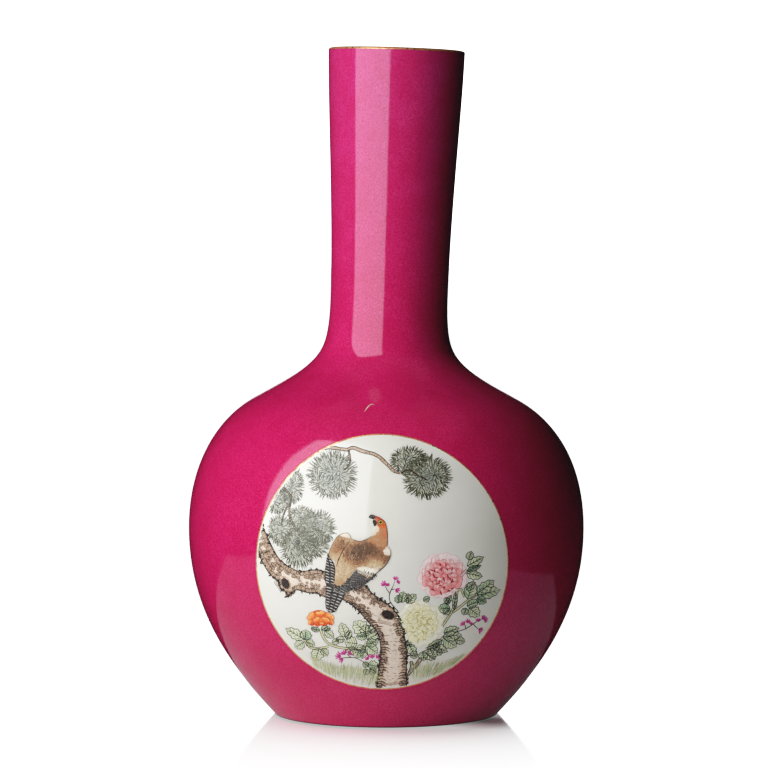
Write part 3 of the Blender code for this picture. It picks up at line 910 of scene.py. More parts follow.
def pine_limb(bark, ink, lichen_ink):
    """The bough and trunk: a rounded flat, bark scales and ribs, knots and lichen."""
    edge = [*LIMB_UPPER, *LIMB_LOWER]
    flat, scales, outline, lichen = (Enamel() for _ in range(4))
    flat.fill(edge, shaded(edge, 4.2, 0.80, 0.06), rim=0.85)
    for line in (LIMB_UPPER, LIMB_LOWER):
        outline.stroke(line, 0.50, 0.9, ends=(1.0, 1.0))
        bark_scales(scales, line)
        lichen_tufts(lichen, line)
    trunk_ribs(scales, LIMB_UPPER, -1)
    trunk_ribs(scales, LIMB_LOWER, 1)
    for u, v, radius, squash, tilt in LIMB_KNOTS:
        outline.dot((u, v), radius + 1.5, 0.15, OVER, squash, tilt)
        outline.dot((u, v), radius + 0.4, 0.75, LINE, squash, tilt)
        lichen.dot((u, v), radius, 0.55, TOUCH, squash, tilt)
        for turn in range(3):
            reach = radius + 1.4 + 0.9 * turn
            reaches = (0.8 * reach, reach, 0.8 * reach, reach)
            rays = [polar(tilt + 0.5 + part * 0.6, far) for part, far in enumerate(reaches)]
            outline.stroke([Vector((u, v)) + ray for ray in rays], 0.30, 0.55)
    flat.build("pine_limb_flat", bark, "pine_bough_enamel", "pine_trunk_enamel")
    scales.build("pine_bark_scales", ink)
    outline.build("pine_limb_lines", ink)
    lichen.build("pine_lichen", lichen_ink)


HAWK_BODY = (
    (-16.8, 14.8), (-12.0, 13.8), (-8.0, 15.2), (-5.5, 16.8), (-3.6, 18.0), (2.4, 18.0),
    (2.8, 14.5), (2.8, 10.8), (4.2, 9.8), (4.7, 8.0), (4.3, 5.0), (1.8, 0.8), (-3.5, -3.9),
    (-8.0, -7.5), (-14.0, -2.0), (-17.5, -5.2), (-20.8, -9.8), (-23.4, -12.4), (-25.4, -11.0),
    (-25.8, -6.6), (-25.2, 0.0), (-23.2, 4.3), (-20.4, 9.6),
)
LEFT_WING = (
    (-24.0, 16.5), (-20.5, 18.0), (-18.0, 17.8), (-16.6, 14.5), (-19.0, 9.0), (-22.0, 4.0),
    (-24.5, -2.5), (-25.6, 0.0), (-25.8, 3.0), (-28.5, 4.5), (-28.8, 7.2), (-27.8, 10.0),
    (-26.2, 13.3),
)
LEFT_TUFT = (
    (-23.0, 17.0), (-20.6, 18.3), (-17.8, 18.2), (-16.8, 15.5), (-18.8, 15.6), (-21.4, 16.2),
)
RIGHT_TUFT = ((0.2, 8.6), (2.6, 10.9), (4.3, 9.9), (4.8, 8.0), (4.3, 6.2), (1.6, 6.4))
BELLY_FLUFF = (
    (-13.3, -0.9), (-9.6, 0.2), (-5.9, -0.9), (-2.4, -0.2), (-1.6, -2.4), (-4.2, -4.4),
    (-7.3, -5.3), (-11.5, -4.0), (-13.8, -3.0),
)
HAWK_THROAT = ((-3.9, 22.4), (-2.2, 22.3), (-1.2, 20.2), (-2.6, 18.0), (-6.2, 16.4), (-4.6, 19.6))
HAWK_NECK = (
    (-2.4, 21.2), (0.0, 21.6), (2.2, 21.6), (2.8, 18.2), (2.9, 14.5), (2.6, 11.0), (-0.8, 10.6),
    (-4.8, 12.0), (-8.2, 14.8), (-5.4, 16.4), (-3.0, 18.2),
)
HAWK_HEAD = (
    (-4.2, 27.8), (-0.9, 26.5), (1.5, 24.4), (2.2, 21.9), (2.1, 20.1), (0.2, 20.6), (-2.1, 21.8),
    (-2.9, 24.2), (-3.9, 26.0),
)
UPPER_BEAK = ((-7.3, 26.8), (-6.0, 28.1), (-4.2, 27.9), (-3.7, 26.2), (-5.0, 26.0), (-6.4, 26.2))
LOWER_BEAK = ((-5.0, 25.2), (-3.4, 25.2), (-2.7, 23.4), (-3.8, 21.9), (-4.7, 23.0))
HAWK_BACK_LINE = (
    (-4.6, 28.0), (-1.0, 26.6), (1.4, 24.6), (2.4, 21.9), (2.9, 18.2), (3.0, 14.5), (2.8, 11.0),
)
HAWK_EYE = (-0.8, 24.1)
RIGHT_PRIMARIES = (
    (-13.8, -1.4), (-11.5, -4.2), (-7.3, -5.3), (-3.5, -4.4), (-8.2, -9.2), (-12.4, -11.6),
    (-19.0, -14.2), (-23.7, -17.1), (-26.5, -14.0), (-24.0, -12.2), (-20.8, -9.6), (-17.1, -5.7),
)
LEFT_PRIMARIES = (
    (-29.4, 7.0), (-28.0, 4.2), (-26.0, 1.2), (-25.2, -3.6), (-25.8, -8.6), (-27.6, -11.2),
    (-30.4, -10.4), (-31.3, -6.4), (-30.9, -1.3), (-30.2, 3.4),
)
TAIL = (
    (-30.2, -10.4), (-24.8, -9.9), (-21.5, -11.9), (-19.5, -13.8), (-20.8, -17.4),
    (-23.2, -21.6), (-25.2, -25.2), (-27.6, -26.2), (-30.2, -25.0), (-30.9, -20.4), (-30.5, -14.9),
)
BAR_PITCH = 1.55
WING_SPLIT = ((-17.2, 13.8), (-20.7, 9.6), (-23.3, 4.2), (-24.8, -0.4))
# Soft spots, each with its middle, reach and depth: the mantle's dark ones, the far wing's, the
# head's, and where the mantle and the far shoulder are mottled.
MANTLE_SPOTS = (
    (-7.5, 11.0, 5.5, 0.42), (-13.5, 8.0, 5.5, 0.46), (-18.2, 6.8, 4.0, 0.40),
    (-3.0, 8.5, 5.0, 0.36), (2.4, 4.6, 3.4, 0.40), (-12.5, 3.6, 4.5, 0.28),
    (-22.0, -9.5, 3.0, 0.25),
)
WING_SPOTS = ((-22.0, 12.5, 5.0, 0.42), (-26.0, 8.5, 3.0, 0.25))
HEAD_SPOTS = ((-2.5, 26.5, 2.6, 0.40), (1.6, 24.6, 1.5, 0.08))
MOTTLED_SPOTS = (
    (-8.0, 9.0, 7.0, 1.0), (1.8, 3.5, 4.5, 1.0), (-16.0, 7.0, 6.0, 1.0), (-22.5, 13.0, 4.5, 0.6),
)


def plumage_tone(point):
    """Dark across the mantle and down the right side, pale down the tail coverts."""
    return 0.22 + min(spots(point, *MANTLE_SPOTS), 0.62) - spots(point, (-4.0, 1.2, 3.2, 0.16))


def barred(quills, high, low, left, right, columns):
    """Rows of slanted white bars on black, in columns between two side lines."""
    for row in range(int((high - low) / BAR_PITCH)):
        for column in range(columns):
            v = high - (row + 0.35 + 0.4 * (column % 2)) * BAR_PITCH
            share = (column + 0.5) / columns
            u = left(v) * (1 - share) + right(v) * share
            half = (right(v) - left(v)) / columns * 0.34
            line = [(u - half, v + 0.30), (u, v), (u + half, v - 0.45)]
            quills.stroke(line, 0.44, uniform(0.10, 0.38), ends=(0.8, 0.6))


def mottled_plumage(mottle):
    """Short dark and pale touches over the mantle, and long soft streaks down the tail coverts."""
    mottle.stroke(WING_SPLIT, 0.60, 0.90, ends=(0.5, 0.3))
    for _ in range(1150):
        point = Vector((uniform(-28, 5), uniform(-5, 18)))
        if random.random() > spots(point, *MOTTLED_SPOTS):
            continue
        if within(point, HAWK_BODY) or within(point, LEFT_WING):
            tip = point + polar(-2.3 + uniform(-0.5, 0.5), uniform(0.6, 1.1))
            tone = 1.0 if random.random() < 0.84 else 0.12
            mottle.stroke([point, tip], 0.50, tone, lift=OVER)
    for _ in range(170):
        point = Vector((uniform(-27, -13), uniform(-10, 9)))
        if within(point, HAWK_BODY):
            tip = point + polar(-1.9 + uniform(-0.2, 0.2), uniform(1.4, 2.8))
            mottle.stroke([point, tip], 0.26, uniform(0.15, 0.55), lift=OVER)


def hawk_quills(quills):
    """The long feathers of both wings and the tail: black, barred with white."""
    quills.fill(RIGHT_PRIMARIES, 0.72, lift=FILL + 0.03)
    for index in range(9):
        line = [
            between((-14.0, -2.2), (-4.6, -5.0), index / 8),
            between((-19.5, -9.0), (-10.5, -9.6), index / 8),
            between((-26.0, -13.2), (-21.5, -15.8), index / 8),
        ]
        for point in flowing(line, step=BAR_PITCH)[index % 2 + 1 :]:
            tick = polar(uniform(-0.35, 0.15), 0.42)
            quills.stroke([point - tick, point + tick], 0.38, uniform(0.0, 0.4), TOUCH + 0.03)
        quills.stroke(line, 0.46, 1.0, lift=TOUCH)
    for index in range(16):
        root = between((-3.8, -5.2), (-14.2, -2.6), index / 15)
        tip = root + Vector((uniform(-0.2, 0.9), uniform(1.0, 2.4)))
        quills.stroke([root, tip], 0.36, 0.95, lift=TOUCH, ends=(1.0, 0.3))
    for index in range(14):
        root = between((-3.6, -4.2), (-14.0, -12.0), index / 11)
        tip = root + polar(uniform(-1.1, -0.5), uniform(1.0, 2.0))
        quills.stroke([root, tip], 0.50, 0.95, ends=(1.0, 0.3))
    quills.fill(LEFT_PRIMARIES, 0.92, lift=FILL + 0.02)
    quills.fill(TAIL, 0.92, lift=FILL + 0.03)
    wing_sides = (lambda v: -31.1 + 0.2 * max(v, 0), lambda v: -25.4 - 0.6 * max(v, 0))
    tail_sides = (lambda v: -30.9, lambda v: -19.4 + 0.52 * (v + 14.0))
    barred(quills, 5.4, -10.6, *wing_sides, 2)
    barred(quills, -11.6, -25.6, *tail_sides, 3)


def hawk_face(face, down, iris):
    """The hooked beak, the eye and the drawn outlines."""
    face.fill(UPPER_BEAK, 0.82, lift=LINE)
    face.fill(LOWER_BEAK, 0.90, lift=LINE)
    for line, width, tone in (
        (((-7.3, 26.6), (-6.4, 27.9), (-4.6, 28.2)), 0.34, 1.0),
        (((-7.0, 26.6), (-5.2, 26.2), (-3.8, 25.2)), 0.34, 1.0),
        (((-4.9, 25.0), (-4.4, 23.2), (-3.6, 22.0)), 0.36, 1.0),
        (HAWK_BACK_LINE, 0.26, 0.75),
        ((*LEFT_WING[-1:], *LEFT_WING[:4]), 0.28, 0.62),
        (HAWK_BODY[:4], 0.30, 0.75),
        (HAWK_BODY[7:14], 0.36, 0.90),
        ((*LEFT_WING[8:], LEFT_WING[0]), 0.22, 0.6),
    ):
        face.stroke(line, width, tone, lift=TOUCH)
    iris.dot(HAWK_EYE, 1.30, 0.2, lift=LINE + 0.03)
    face.dot(HAWK_EYE, 0.78, 1.1, lift=TOUCH + 0.06)
    ring = [Vector(HAWK_EYE) + polar(turn, 1.38) for turn in (0.3, 1.4, 2.5, 3.6, 4.7, 5.8, 6.6)]
    face.stroke(ring, 0.42, 1.0, lift=TOUCH + 0.04)
    down.dot((HAWK_EYE[0] - 0.25, HAWK_EYE[1] + 0.3), 0.20, 0.0, lift=TOUCH + 0.12)


def hawk():
    """The hawk seen from behind, its wings half open and its head turned over its shoulder."""
    browns = ((0.70, 0.56, 0.39), (0.36, 0.205, 0.115), (0.05, 0.030, 0.022))
    creams = ((0.84, 0.82, 0.72), (0.70, 0.58, 0.46), (0.30, 0.20, 0.14))
    oranges = ((0.42, 0.25, 0.15), (0.66, 0.17, 0.055), (0.30, 0.035, 0.03))
    blacks = ((0.82, 0.81, 0.77), (0.20, 0.18, 0.17), (0.014, 0.012, 0.012))
    ambers = ((0.86, 0.66, 0.16), (0.80, 0.50, 0.08), (0.40, 0.20, 0.04))
    plumage, black = enamel("plumage_enamel", *browns), enamel("quill_enamel", *blacks)
    body, mottle, down, quills, head, face, iris = (
        Enamel("feather_enamel", ABOVE_BOUGH) for _ in range(7)
    )
    body.fill(LEFT_WING, lambda point: 0.20 + spots(point, *WING_SPOTS))
    body.fill(HAWK_BODY, plumage_tone, lift=FILL + 0.02)
    mottled_plumage(mottle)
    for edge in (LEFT_TUFT, RIGHT_TUFT, BELLY_FLUFF, HAWK_THROAT):
        down.fill(edge, shaded(edge, 1.6, 0.45, 0.05), lift=OVER, rim=0.4)
    for u, v in zip((-13.4, -12.2, -11.0, -9.6, -8.2, -6.6), (-1.6, -2.2, -2.6, -3.0, -3.4, -3.8)):
        down.stroke([(u, v), (u - 1.8, v - 1.7)], 0.34, 1.0)
        down.stroke([(u + 0.5, v + 0.6), (u - 1.2, v - 1.0)], 0.30, 0.0, lift=TOUCH)
    hawk_quills(quills)
    head.fill(HAWK_NECK, lambda point: spots(point, (3.0, 18.5, 4.5, 0.24)), lift=OVER)
    head.fill(HAWK_HEAD, lambda point: 0.50 + spots(point, *HEAD_SPOTS), lift=OVER + 0.02)
    for _ in range(60):
        point = Vector((uniform(-7, 2.8), uniform(11.5, 21.0)))
        if within(point, HAWK_NECK):
            head.stroke([point, point + polar(-1.8, 1.2)], 0.26, uniform(0.0, 0.4))
    hawk_face(face, down, iris)
    iris.build("hawk_iris", enamel("iris_enamel", *ambers))
    body.build("hawk_plumage", plumage, "hawk_enamel")
    mottle.build("hawk_mottling", plumage)
    down.build("hawk_down", enamel("cream_down_enamel", *creams))
    quills.build("hawk_quills", black)
    head.build("hawk_head", enamel("hawk_head_enamel", *oranges))
    face.build("hawk_lines", black)


# A petal's outline from its base: how far along and to the side. Its notch moves a little.
PETAL_LEFT = ((0.0, 0.0), (0.30, 0.40), (0.68, 0.52), (0.94, 0.34))
PETAL_RIGHT = ((1.0, -0.12), (0.92, -0.36), (0.66, -0.52), (0.28, -0.38))


def petal(flat, lines, base, angle, length, width, lift, tones, line_tone, veins=0):
    """A broad petal with a notched rim: tones are those of its base and its rim."""
    along, base = polar(angle), Vector(base)
    notch = (0.90 + uniform(-0.06, 0.04), 0.08)

    def spot(far, side):
        return base + along * (far * length) + left_of(along) * (side * width)

    def tone(point):
        share = min(max((point - base).dot(along) / length, 0.0), 1.0)
        return tones[0] + (tones[1] - tones[0]) * min(share * 1.25, 1.0)

    edge = [spot(far, side) for far, side in (*PETAL_LEFT, notch, *PETAL_RIGHT)]
    flat.fill(edge, tone, lift=lift)
    lines.stroke(edge[1:], 0.24, line_tone, lift=lift + RIDGE)
    for index in range(veins):
        side = (index + 0.5) / veins - 0.5
        lines.stroke([spot(0.15, side * 0.5), spot(0.66, side)], 0.22, line_tone, lift + RIDGE)


# The petals of a peony's skirt and heart, and the turn from one heart petal to the next, which
# never lets them line up.
SKIRT_PETALS, HEART_PETALS, GOLDEN_TURN = 10, 30, 2.4


def peony(colour, middle, half, tones, colours, line_colours):
    """A full peony: a skirt of broad petals, then a crowded heart from its back to its front."""
    flat, lines = Enamel(colour + "_enamel"), Enamel(colour + "_enamel")
    name = colour + "_peony"

    def spot(angle, reach):
        u = middle[0] + math.cos(angle) * half[0] * reach
        return Vector((u, middle[1] + math.sin(angle) * half[1] * reach))

    low, far, deep, skirt_line, heart_line, crease = tones
    mean = (half[0] + half[1]) / 2
    flat.fill([spot(2 * math.pi * i / 12, 0.72) for i in range(12)], deep)
    for index in range(SKIRT_PETALS):
        angle = 0.4 + 2 * math.pi * (index + uniform(-0.2, 0.2)) / SKIRT_PETALS
        size = mean * uniform(0.50, 0.66)
        looks = (FILL + 0.02 + 0.02 * (index % 2), (far, low), skirt_line, 3)
        petal(flat, lines, spot(angle, 0.44), angle, size, size * 1.2, *looks)
    places = []
    for index in range(1, HEART_PETALS + 1):
        places.append(spot(index * GOLDEN_TURN, 0.74 * math.sqrt(index / HEART_PETALS) - 0.06))
    for index, place in enumerate(sorted(places, key=lambda place: -place.y)):
        size = mean * uniform(0.34, 0.50)
        turn = math.pi / 2 - (place.x - middle[0]) / half[0] * 1.2 + uniform(-1.2, 1.2)
        base = place - polar(turn, size * 0.45)
        lift = OVER + 0.004 * index
        looks = (lift, (deep * uniform(0.7, 1.1), low + uniform(0.05, 0.35)), heart_line, 1)
        petal(flat, lines, base, turn, size, size * 1.15, *looks)
        side = polar(turn + uniform(0.8, 2.4), size * uniform(0.12, 0.30))
        dip = base + polar(turn, size * 0.06)
        lines.stroke([base - side, dip, base + side], 0.85, crease, lift=lift + 0.07)
    flat.build(name, enamel(name + "_enamel", *colours), name + "_enamel")
    lines.build(name + "_lines", enamel(name + "_line_enamel", *line_colours))


ORANGE_DOME = (
    (-40.4, -31.9), (-39.4, -27.7), (-36.8, -25.5), (-33.2, -25.2), (-29.6, -26.7),
    (-26.4, -31.0), (-27.7, -33.4), (-29.6, -32.8), (-31.3, -34.0), (-33.4, -33.4),
    (-35.4, -34.7), (-37.0, -33.6), (-38.8, -34.3),
)
# The ruffles of the orange flower, back to front: base place, turn and length.
ORANGE_RUFFLES = (
    (-36.8, -30.4, 2.5, 4.4), (-33.4, -29.4, 1.7, 4.0), (-30.0, -30.4, 0.9, 4.2),
    (-37.8, -32.6, 2.8, 2.8), (-34.8, -32.2, 2.1, 3.4), (-31.4, -32.4, 1.2, 3.6),
    (-28.6, -32.0, 0.5, 2.4), (-33.0, -33.8, 1.5, 2.2),
)


def flowers():
    """The pink and yellow peonies and the orange flower."""
    peony(
        "pink", (32.8, -5.8), (13.4, 12.4), (0.0, 0.26, 0.95, 0.05, 0.55, 1.0),
        ((0.85, 0.73, 0.72), (0.78, 0.34, 0.34), (0.62, 0.11, 0.11)),
        ((0.72, 0.45, 0.48), (0.62, 0.17, 0.19), (0.34, 0.02, 0.03)),
    )
    peony(
        "yellow", (20.6, -31.8), (11.6, 13.6), (0.0, 0.14, 0.66, 0.05, 0.46, 0.55),
        ((0.82, 0.81, 0.68), (0.80, 0.76, 0.46), (0.74, 0.60, 0.22)),
        ((0.70, 0.68, 0.50), (0.54, 0.48, 0.26), (0.36, 0.29, 0.12)),
    )
    flat, lines = Enamel("orange_enamel"), Enamel("orange_enamel")
    flat.fill(ORANGE_DOME, shaded(ORANGE_DOME, 3.0, 0.80, 0.45))
    for index, (u, v, turn, size) in enumerate(ORANGE_RUFFLES):
        looks = (OVER + 0.01 * index, (0.95, 0.05), 0.75)
        petal(flat, lines, (u, v), turn, size, size * 1.25, *looks)
    lines.stroke([*ORANGE_DOME, ORANGE_DOME[0]], 0.24, 0.45)
    for index in range(9):
        start = Vector((-39.0 + 1.45 * index, -33.9 + 0.4 * (index % 2)))
        lines.stroke([start, start + Vector((0.2, 1.3))], 0.44, 1.0)
    orange = enamel("orange_petals", (0.88, 0.50, 0.22), (0.82, 0.20, 0.05), (0.60, 0.07, 0.02))
    dark = enamel("orange_flower_red", (0.70, 0.20, 0.08), (0.55, 0.07, 0.03), (0.20, 0.02, 0.02))
    flat.build("orange_flower", orange, "orange_flower_enamel")
    lines.build("orange_flower_lines", dark)


# Leaves: where each starts, its tip, its width, and its tone from olive to teal.
LEAVES = {
    "leaves_right": (
        (47.3, 2.7, 48.8, 7.6, 3.7, 0.30), (46.4, -0.6, 55.7, 4.0, 4.2, 0.30),
        (46.4, -3.3, 54.3, -0.6, 2.7, 0.80), (46.0, -4.5, 55.1, -6.9, 4.2, 0.35),
        (46.8, -19.1, 49.9, -9.0, 5.8, 0.55), (51.9, -16.6, 61.6, -9.3, 5.8, 0.50),
        (51.9, -17.4, 65.0, -15.0, 5.8, 0.55), (51.9, -19.0, 57.4, -21.7, 3.5, 0.80),
        (46.5, -23.0, 53.1, -20.6, 4.2, 0.60), (46.1, -24.2, 44.6, -28.2, 3.5, 0.50),
        (47.7, -24.3, 53.5, -29.1, 5.8, 0.35), (37.2, -23.8, 30.6, -23.6, 5.4, 0.70),
        (35.3, -21.8, 37.9, -16.3, 2.3, 0.30), (39.5, -25.1, 40.2, -14.4, 2.1, 0.50),
        (10.7, -20.0, 11.8, -13.7, 4.6, 0.50), (13.4, -20.4, 18.7, -15.4, 4.2, 0.40),
        (22.6, -19.4, 26.0, -17.1, 2.7, 0.70), (8.6, -20.4, 9.6, -15.4, 3.4, 0.60),
        (14.4, -20.2, 14.2, -14.8, 3.4, 0.50), (37.0, -24.4, 33.6, -27.0, 3.6, 0.60),
        (36.8, -21.2, 34.2, -17.6, 3.0, 0.50), (46.0, -13.8, 51.2, -9.8, 3.6, 0.45),
    ),
    "leaves_low_right": (
        (33.8, -37.9, 42.3, -35.4, 4.2, 0.60), (34.2, -41.2, 40.9, -46.5, 5.8, 0.50),
        (40.4, -42.3, 45.7, -43.6, 4.2, 0.40), (33.1, -42.0, 24.6, -46.6, 3.5, 0.85),
        (27.7, -45.0, 36.2, -49.1, 4.2, 0.40), (30.8, -47.6, 32.4, -51.0, 3.1, 0.35),
        (22.7, -48.2, 29.3, -53.4, 5.0, 0.50), (19.6, -50.2, 15.0, -50.5, 3.9, 0.45),
        (13.8, -41.4, 15.9, -45.6, 1.9, 0.80), (33.2, -40.2, 43.8, -39.4, 5.0, 0.55),
        (26.4, -46.4, 28.8, -53.2, 4.6, 0.45), (22.2, -48.4, 23.0, -54.0, 4.0, 0.50),
        (14.6, -43.8, 18.4, -51.4, 4.4, 0.60), (30.8, -44.2, 28.6, -48.2, 3.6, 0.70),
    ),
    "leaves_left": (
        (-42.6, -42.3, -53.1, -36.5, 5.0, 0.35), (-42.2, -42.7, -41.7, -36.5, 5.4, 0.80),
        (-41.8, -43.5, -36.8, -45.7, 4.2, 0.60), (-43.0, -44.0, -48.1, -47.7, 4.6, 0.55),
        (-34.5, -47.2, -36.9, -54.9, 5.8, 0.10), (-32.9, -47.2, -29.9, -51.6, 3.9, 0.10),
        (-31.3, -36.8, -26.3, -40.7, 4.2, 0.35), (-34.0, -36.5, -39.0, -36.0, 2.3, 0.60),
        (-33.2, -36.5, -29.7, -33.9, 2.3, 0.60), (-19.7, -40.1, -22.4, -31.6, 5.0, 0.20),
        (-20.5, -41.3, -25.5, -41.5, 3.5, 0.40), (-19.3, -41.3, -17.0, -35.9, 3.5, 0.60),
        (-8.2, -37.8, -15.5, -30.7, 7.3, 0.20), (-13.6, -43.6, -20.5, -43.0, 5.8, 0.15),
        (-8.2, -39.4, -14.3, -39.5, 3.9, 0.85), (-8.2, -41.1, -2.0, -37.7, 5.0, 0.60),
        (-8.6, -43.5, -2.0, -42.6, 3.9, 0.60), (-9.7, -44.8, -13.2, -49.0, 4.2, 0.70),
        (-8.6, -44.7, -2.4, -49.2, 5.8, 0.60), (-9.4, -46.8, -10.9, -52.6, 3.5, 0.65),
        (-7.8, -55.9, -1.7, -57.1, 4.6, 0.70), (-8.2, -58.5, -9.4, -61.9, 3.1, 0.50),
        (-4.8, -58.8, -5.9, -62.2, 3.1, 0.50), (-7.5, -57.0, -10.5, -54.6, 3.2, 0.60),
        (-8.9, -39.2, -9.1, -32.4, 4.8, 0.45), (-14.2, -46.4, -19.6, -49.0, 3.8, 0.50),
        (-12.4, -46.9, -14.2, -52.2, 4.4, 0.60), (-7.4, -36.6, -3.4, -34.2, 3.4, 0.55),
        (-23.6, -42.0, -27.6, -43.6, 2.8, 0.40), (-38.8, -35.2, -35.6, -36.8, 1.9, 0.40),
        (-28.2, -34.8, -31.6, -36.6, 1.9, 0.45), (-6.6, -58.4, -3.0, -60.4, 3.0, 0.60),
    ),
}
LEAF_SHAPE = (
    (0.0, 0.0), (0.12, 0.28), (0.27, 0.52), (0.36, 0.42), (0.50, 0.58), (0.61, 0.40), (0.78, 0.38),
    (0.88, 0.16), (1.0, 0.0),
)
LEAF_VEINS = (0.16, 0.34, 0.52, 0.68)
# How much paler the leaves are than their tone says, and once more at the left and below a height.
PALER, PALE_LEAVES_TOP = 0.14, -35


def leaf(flat, lines, base, tip, width, tone):
    """A lobed leaf: one half lit, a dark outline, a midrib and side veins."""
    along = tip - base
    across = left_of(along).normalized() * width
    sides = []
    for side in (1, -1):
        grow = uniform(0.98, 1.25) * side
        sides.append([base + along * far + across * (out * grow) for far, out in LEAF_SHAPE])
    lit = random.choice((1, -1))

    def mottled(point):
        far = (point - base).dot(along) / along.length_squared
        out = (point - base).dot(across) / across.length_squared * lit
        return tone - PALER - 0.80 * max(out, 0.0) - 0.30 * far

    flat.fill(sides[0] + sides[1][-2:0:-1], mottled)
    ink = uniform(0.45, 1.0) - 0.25 * (base.x < 0)
    for line in sides:
        lines.stroke(line, 0.39, ink, ends=(0.8, 0.5))
    lines.stroke([base, base + along * 0.94], 0.38, ink, ends=(1.0, 0.4))
    for far in LEAF_VEINS:
        for side in (0.44, -0.44):
            start = base + along * far
            end = start + along * 0.17 + across * side * (1.15 - 0.8 * far)
            lines.stroke([start, end], 0.27, ink)


def leaves():
    """The three groups of leaves."""
    greens = ((0.66, 0.70, 0.50), (0.36, 0.50, 0.33), (0.13, 0.30, 0.26))
    darks = ((0.12, 0.14, 0.10), (0.035, 0.045, 0.040), (0.012, 0.018, 0.018))
    green, dark = enamel("leaf_enamel", *greens, speckle=0.2), enamel("leaf_line_enamel", *darks)
    for name, rows in LEAVES.items():
        flat, lines = Enamel(), Enamel()
        for u, v, tip_u, tip_v, width, tone in rows:
            if u < 0 or v < PALE_LEAVES_TOP:
                tone -= PALER
            leaf(flat, lines, Vector((u, v)), Vector((tip_u, tip_v)), width, tone)
        flat.build(name, green)
        lines.build(name + "_lines", dark)


STEMS = (
    ((33.0, -34.0), (38.0, -26.0), (40.3, -20.0), (41.0, -14.0)),
    ((38.4, -26.3), (42.2, -23.6), (46.5, -20.3), (52.5, -16.5)),
    ((41.0, -14.0), (43.3, -13.8), (45.2, -18.0)),
    ((41.5, -8.0), (44.5, -4.5), (46.4, -2.5)),
    ((24.0, -47.0), (29.0, -44.5), (34.0, -40.0)),
    ((-33.6, -36.6), (-31.3, -42.0), (-27.1, -45.2), (-19.4, -46.6), (-11.0, -46.2), (-8.4, -42.0)),
    ((-42.6, -42.7), (-39.1, -47.0), (-34.5, -47.2), (-29.0, -45.7)),
)
BLOSSOM_TWIGS = (
    ((8.8, -25.0), (5.1, -20.6), (3.9, -17.2), (4.6, -13.9), (6.3, -10.1), (7.0, -7.2)),
    ((4.2, -15.0), (2.4, -12.2), (1.6, -10.4)),
    ((5.0, -12.8), (7.2, -12.4)),
    ((40.5, -37.6), (45.6, -36.2), (49.2, -34.1), (52.9, -31.6), (55.9, -30.6)),
    ((46.0, -36.0), (45.4, -33.6)),
    ((50.0, -33.6), (53.0, -36.8)),
    ((-22.3, -52.4), (-15.5, -51.9), (-11.7, -53.5), (-7.6, -55.5)),
    ((-17.0, -51.8), (-19.4, -49.8)),
)
# The blossoms: middle, size and turn.
BLOSSOMS = (
    (7.0, -7.4, 2.2, 1.3), (7.9, -8.4, 1.8, 0.2), (1.5, -10.4, 2.4, 2.3), (2.6, -10.8, 1.8, 1.2),
    (7.4, -12.6, 2.4, -0.6), (45.2, -33.6, 2.3, 2.4), (46.8, -32.8, 2.2, 1.3),
    (48.2, -33.6, 1.8, 0.8), (53.0, -32.4, 2.2, 1.6), (55.0, -31.0, 2.4, 0.7),
    (56.2, -31.6, 2.0, -0.4), (53.2, -36.6, 2.6, -0.6), (-22.6, -51.4, 3.2, 2.8),
    (-20.2, -50.2, 3.0, 2.2), (-21.4, -53.0, 2.6, 3.5), (-18.4, -50.0, 2.4, 0.6),
    (-5.4, -52.2, 2.8, 1.6), (-3.2, -51.8, 2.4, 0.6), (-7.4, -52.8, 2.2, 2.4),
)
BROKEN_TWIG = (
    (14.1, -61.8), (15.6, -57.2), (15.3, -54.4), (16.6, -54.2), (17.6, -56.4), (20.6, -52.2),
    (22.0, -52.9), (19.7, -56.6), (17.2, -59.4), (14.3, -62.9),
)
# The grass: the left and right ends, the highest root, the blades and how the slant grows.
GRASS = ((-38.0, -2.5, -61.0, 260, 0.02), (15.5, 41.0, -59.0, 170, 0.035))


def stalks(bark, ink):
    """The stems, the blossoms' twigs and the broken twig."""
    stems, twigs, broken = Enamel(), Enamel(), Enamel()
    for line in STEMS:
        stems.stroke(line, 1.3, 0.1, lift=FILL, ends=(0.9, 0.6))
        for side in (-0.6, 0.6):
            twigs.stroke(beside(line, side), 0.30, 0.75, ends=(1.0, 0.6))
    for line in BLOSSOM_TWIGS:
        twigs.stroke(line, 0.42, 0.9, ends=(1.0, 0.4))
    twigs.stroke([*BROKEN_TWIG, BROKEN_TWIG[0]], 0.50, 0.95, ends=(1.0, 1.0))
    for line in (((15.0, -60.4), (17.4, -57.4)), ((16.6, -59.4), (20.4, -54.0))):
        twigs.stroke(line, 0.38, 0.8)
    broken.fill(BROKEN_TWIG, 0.15, rim=0.5)
    broken.build("broken_twig_flat", bark)
    green = enamel("stem_enamel", (0.62, 0.62, 0.40), (0.50, 0.55, 0.32), (0.16, 0.16, 0.08))
    stems.build("stems", green)
    twigs.build("twigs", ink)


def blossoms():
    """Small magenta blossoms of four petals, each with a line along its middle."""
    petals = Enamel("pink_enamel")
    for u, v, size, turn in BLOSSOMS:
        for spread in (-0.75, -0.25, 0.3, 0.8):
            tip = Vector((u, v)) + polar(turn + spread, size * uniform(0.8, 1.2))
            petals.stroke([(u, v), tip], 0.85, uniform(0.0, 0.4), ends=(0.5, 0.7))
            petals.stroke([(u, v), tip], 0.26, 1.0, lift=TOUCH)
    pink = enamel("blossom_enamel", (0.72, 0.20, 0.46), (0.52, 0.04, 0.26), (0.28, 0.01, 0.12))
    petals.build("magenta_blossoms", pink)


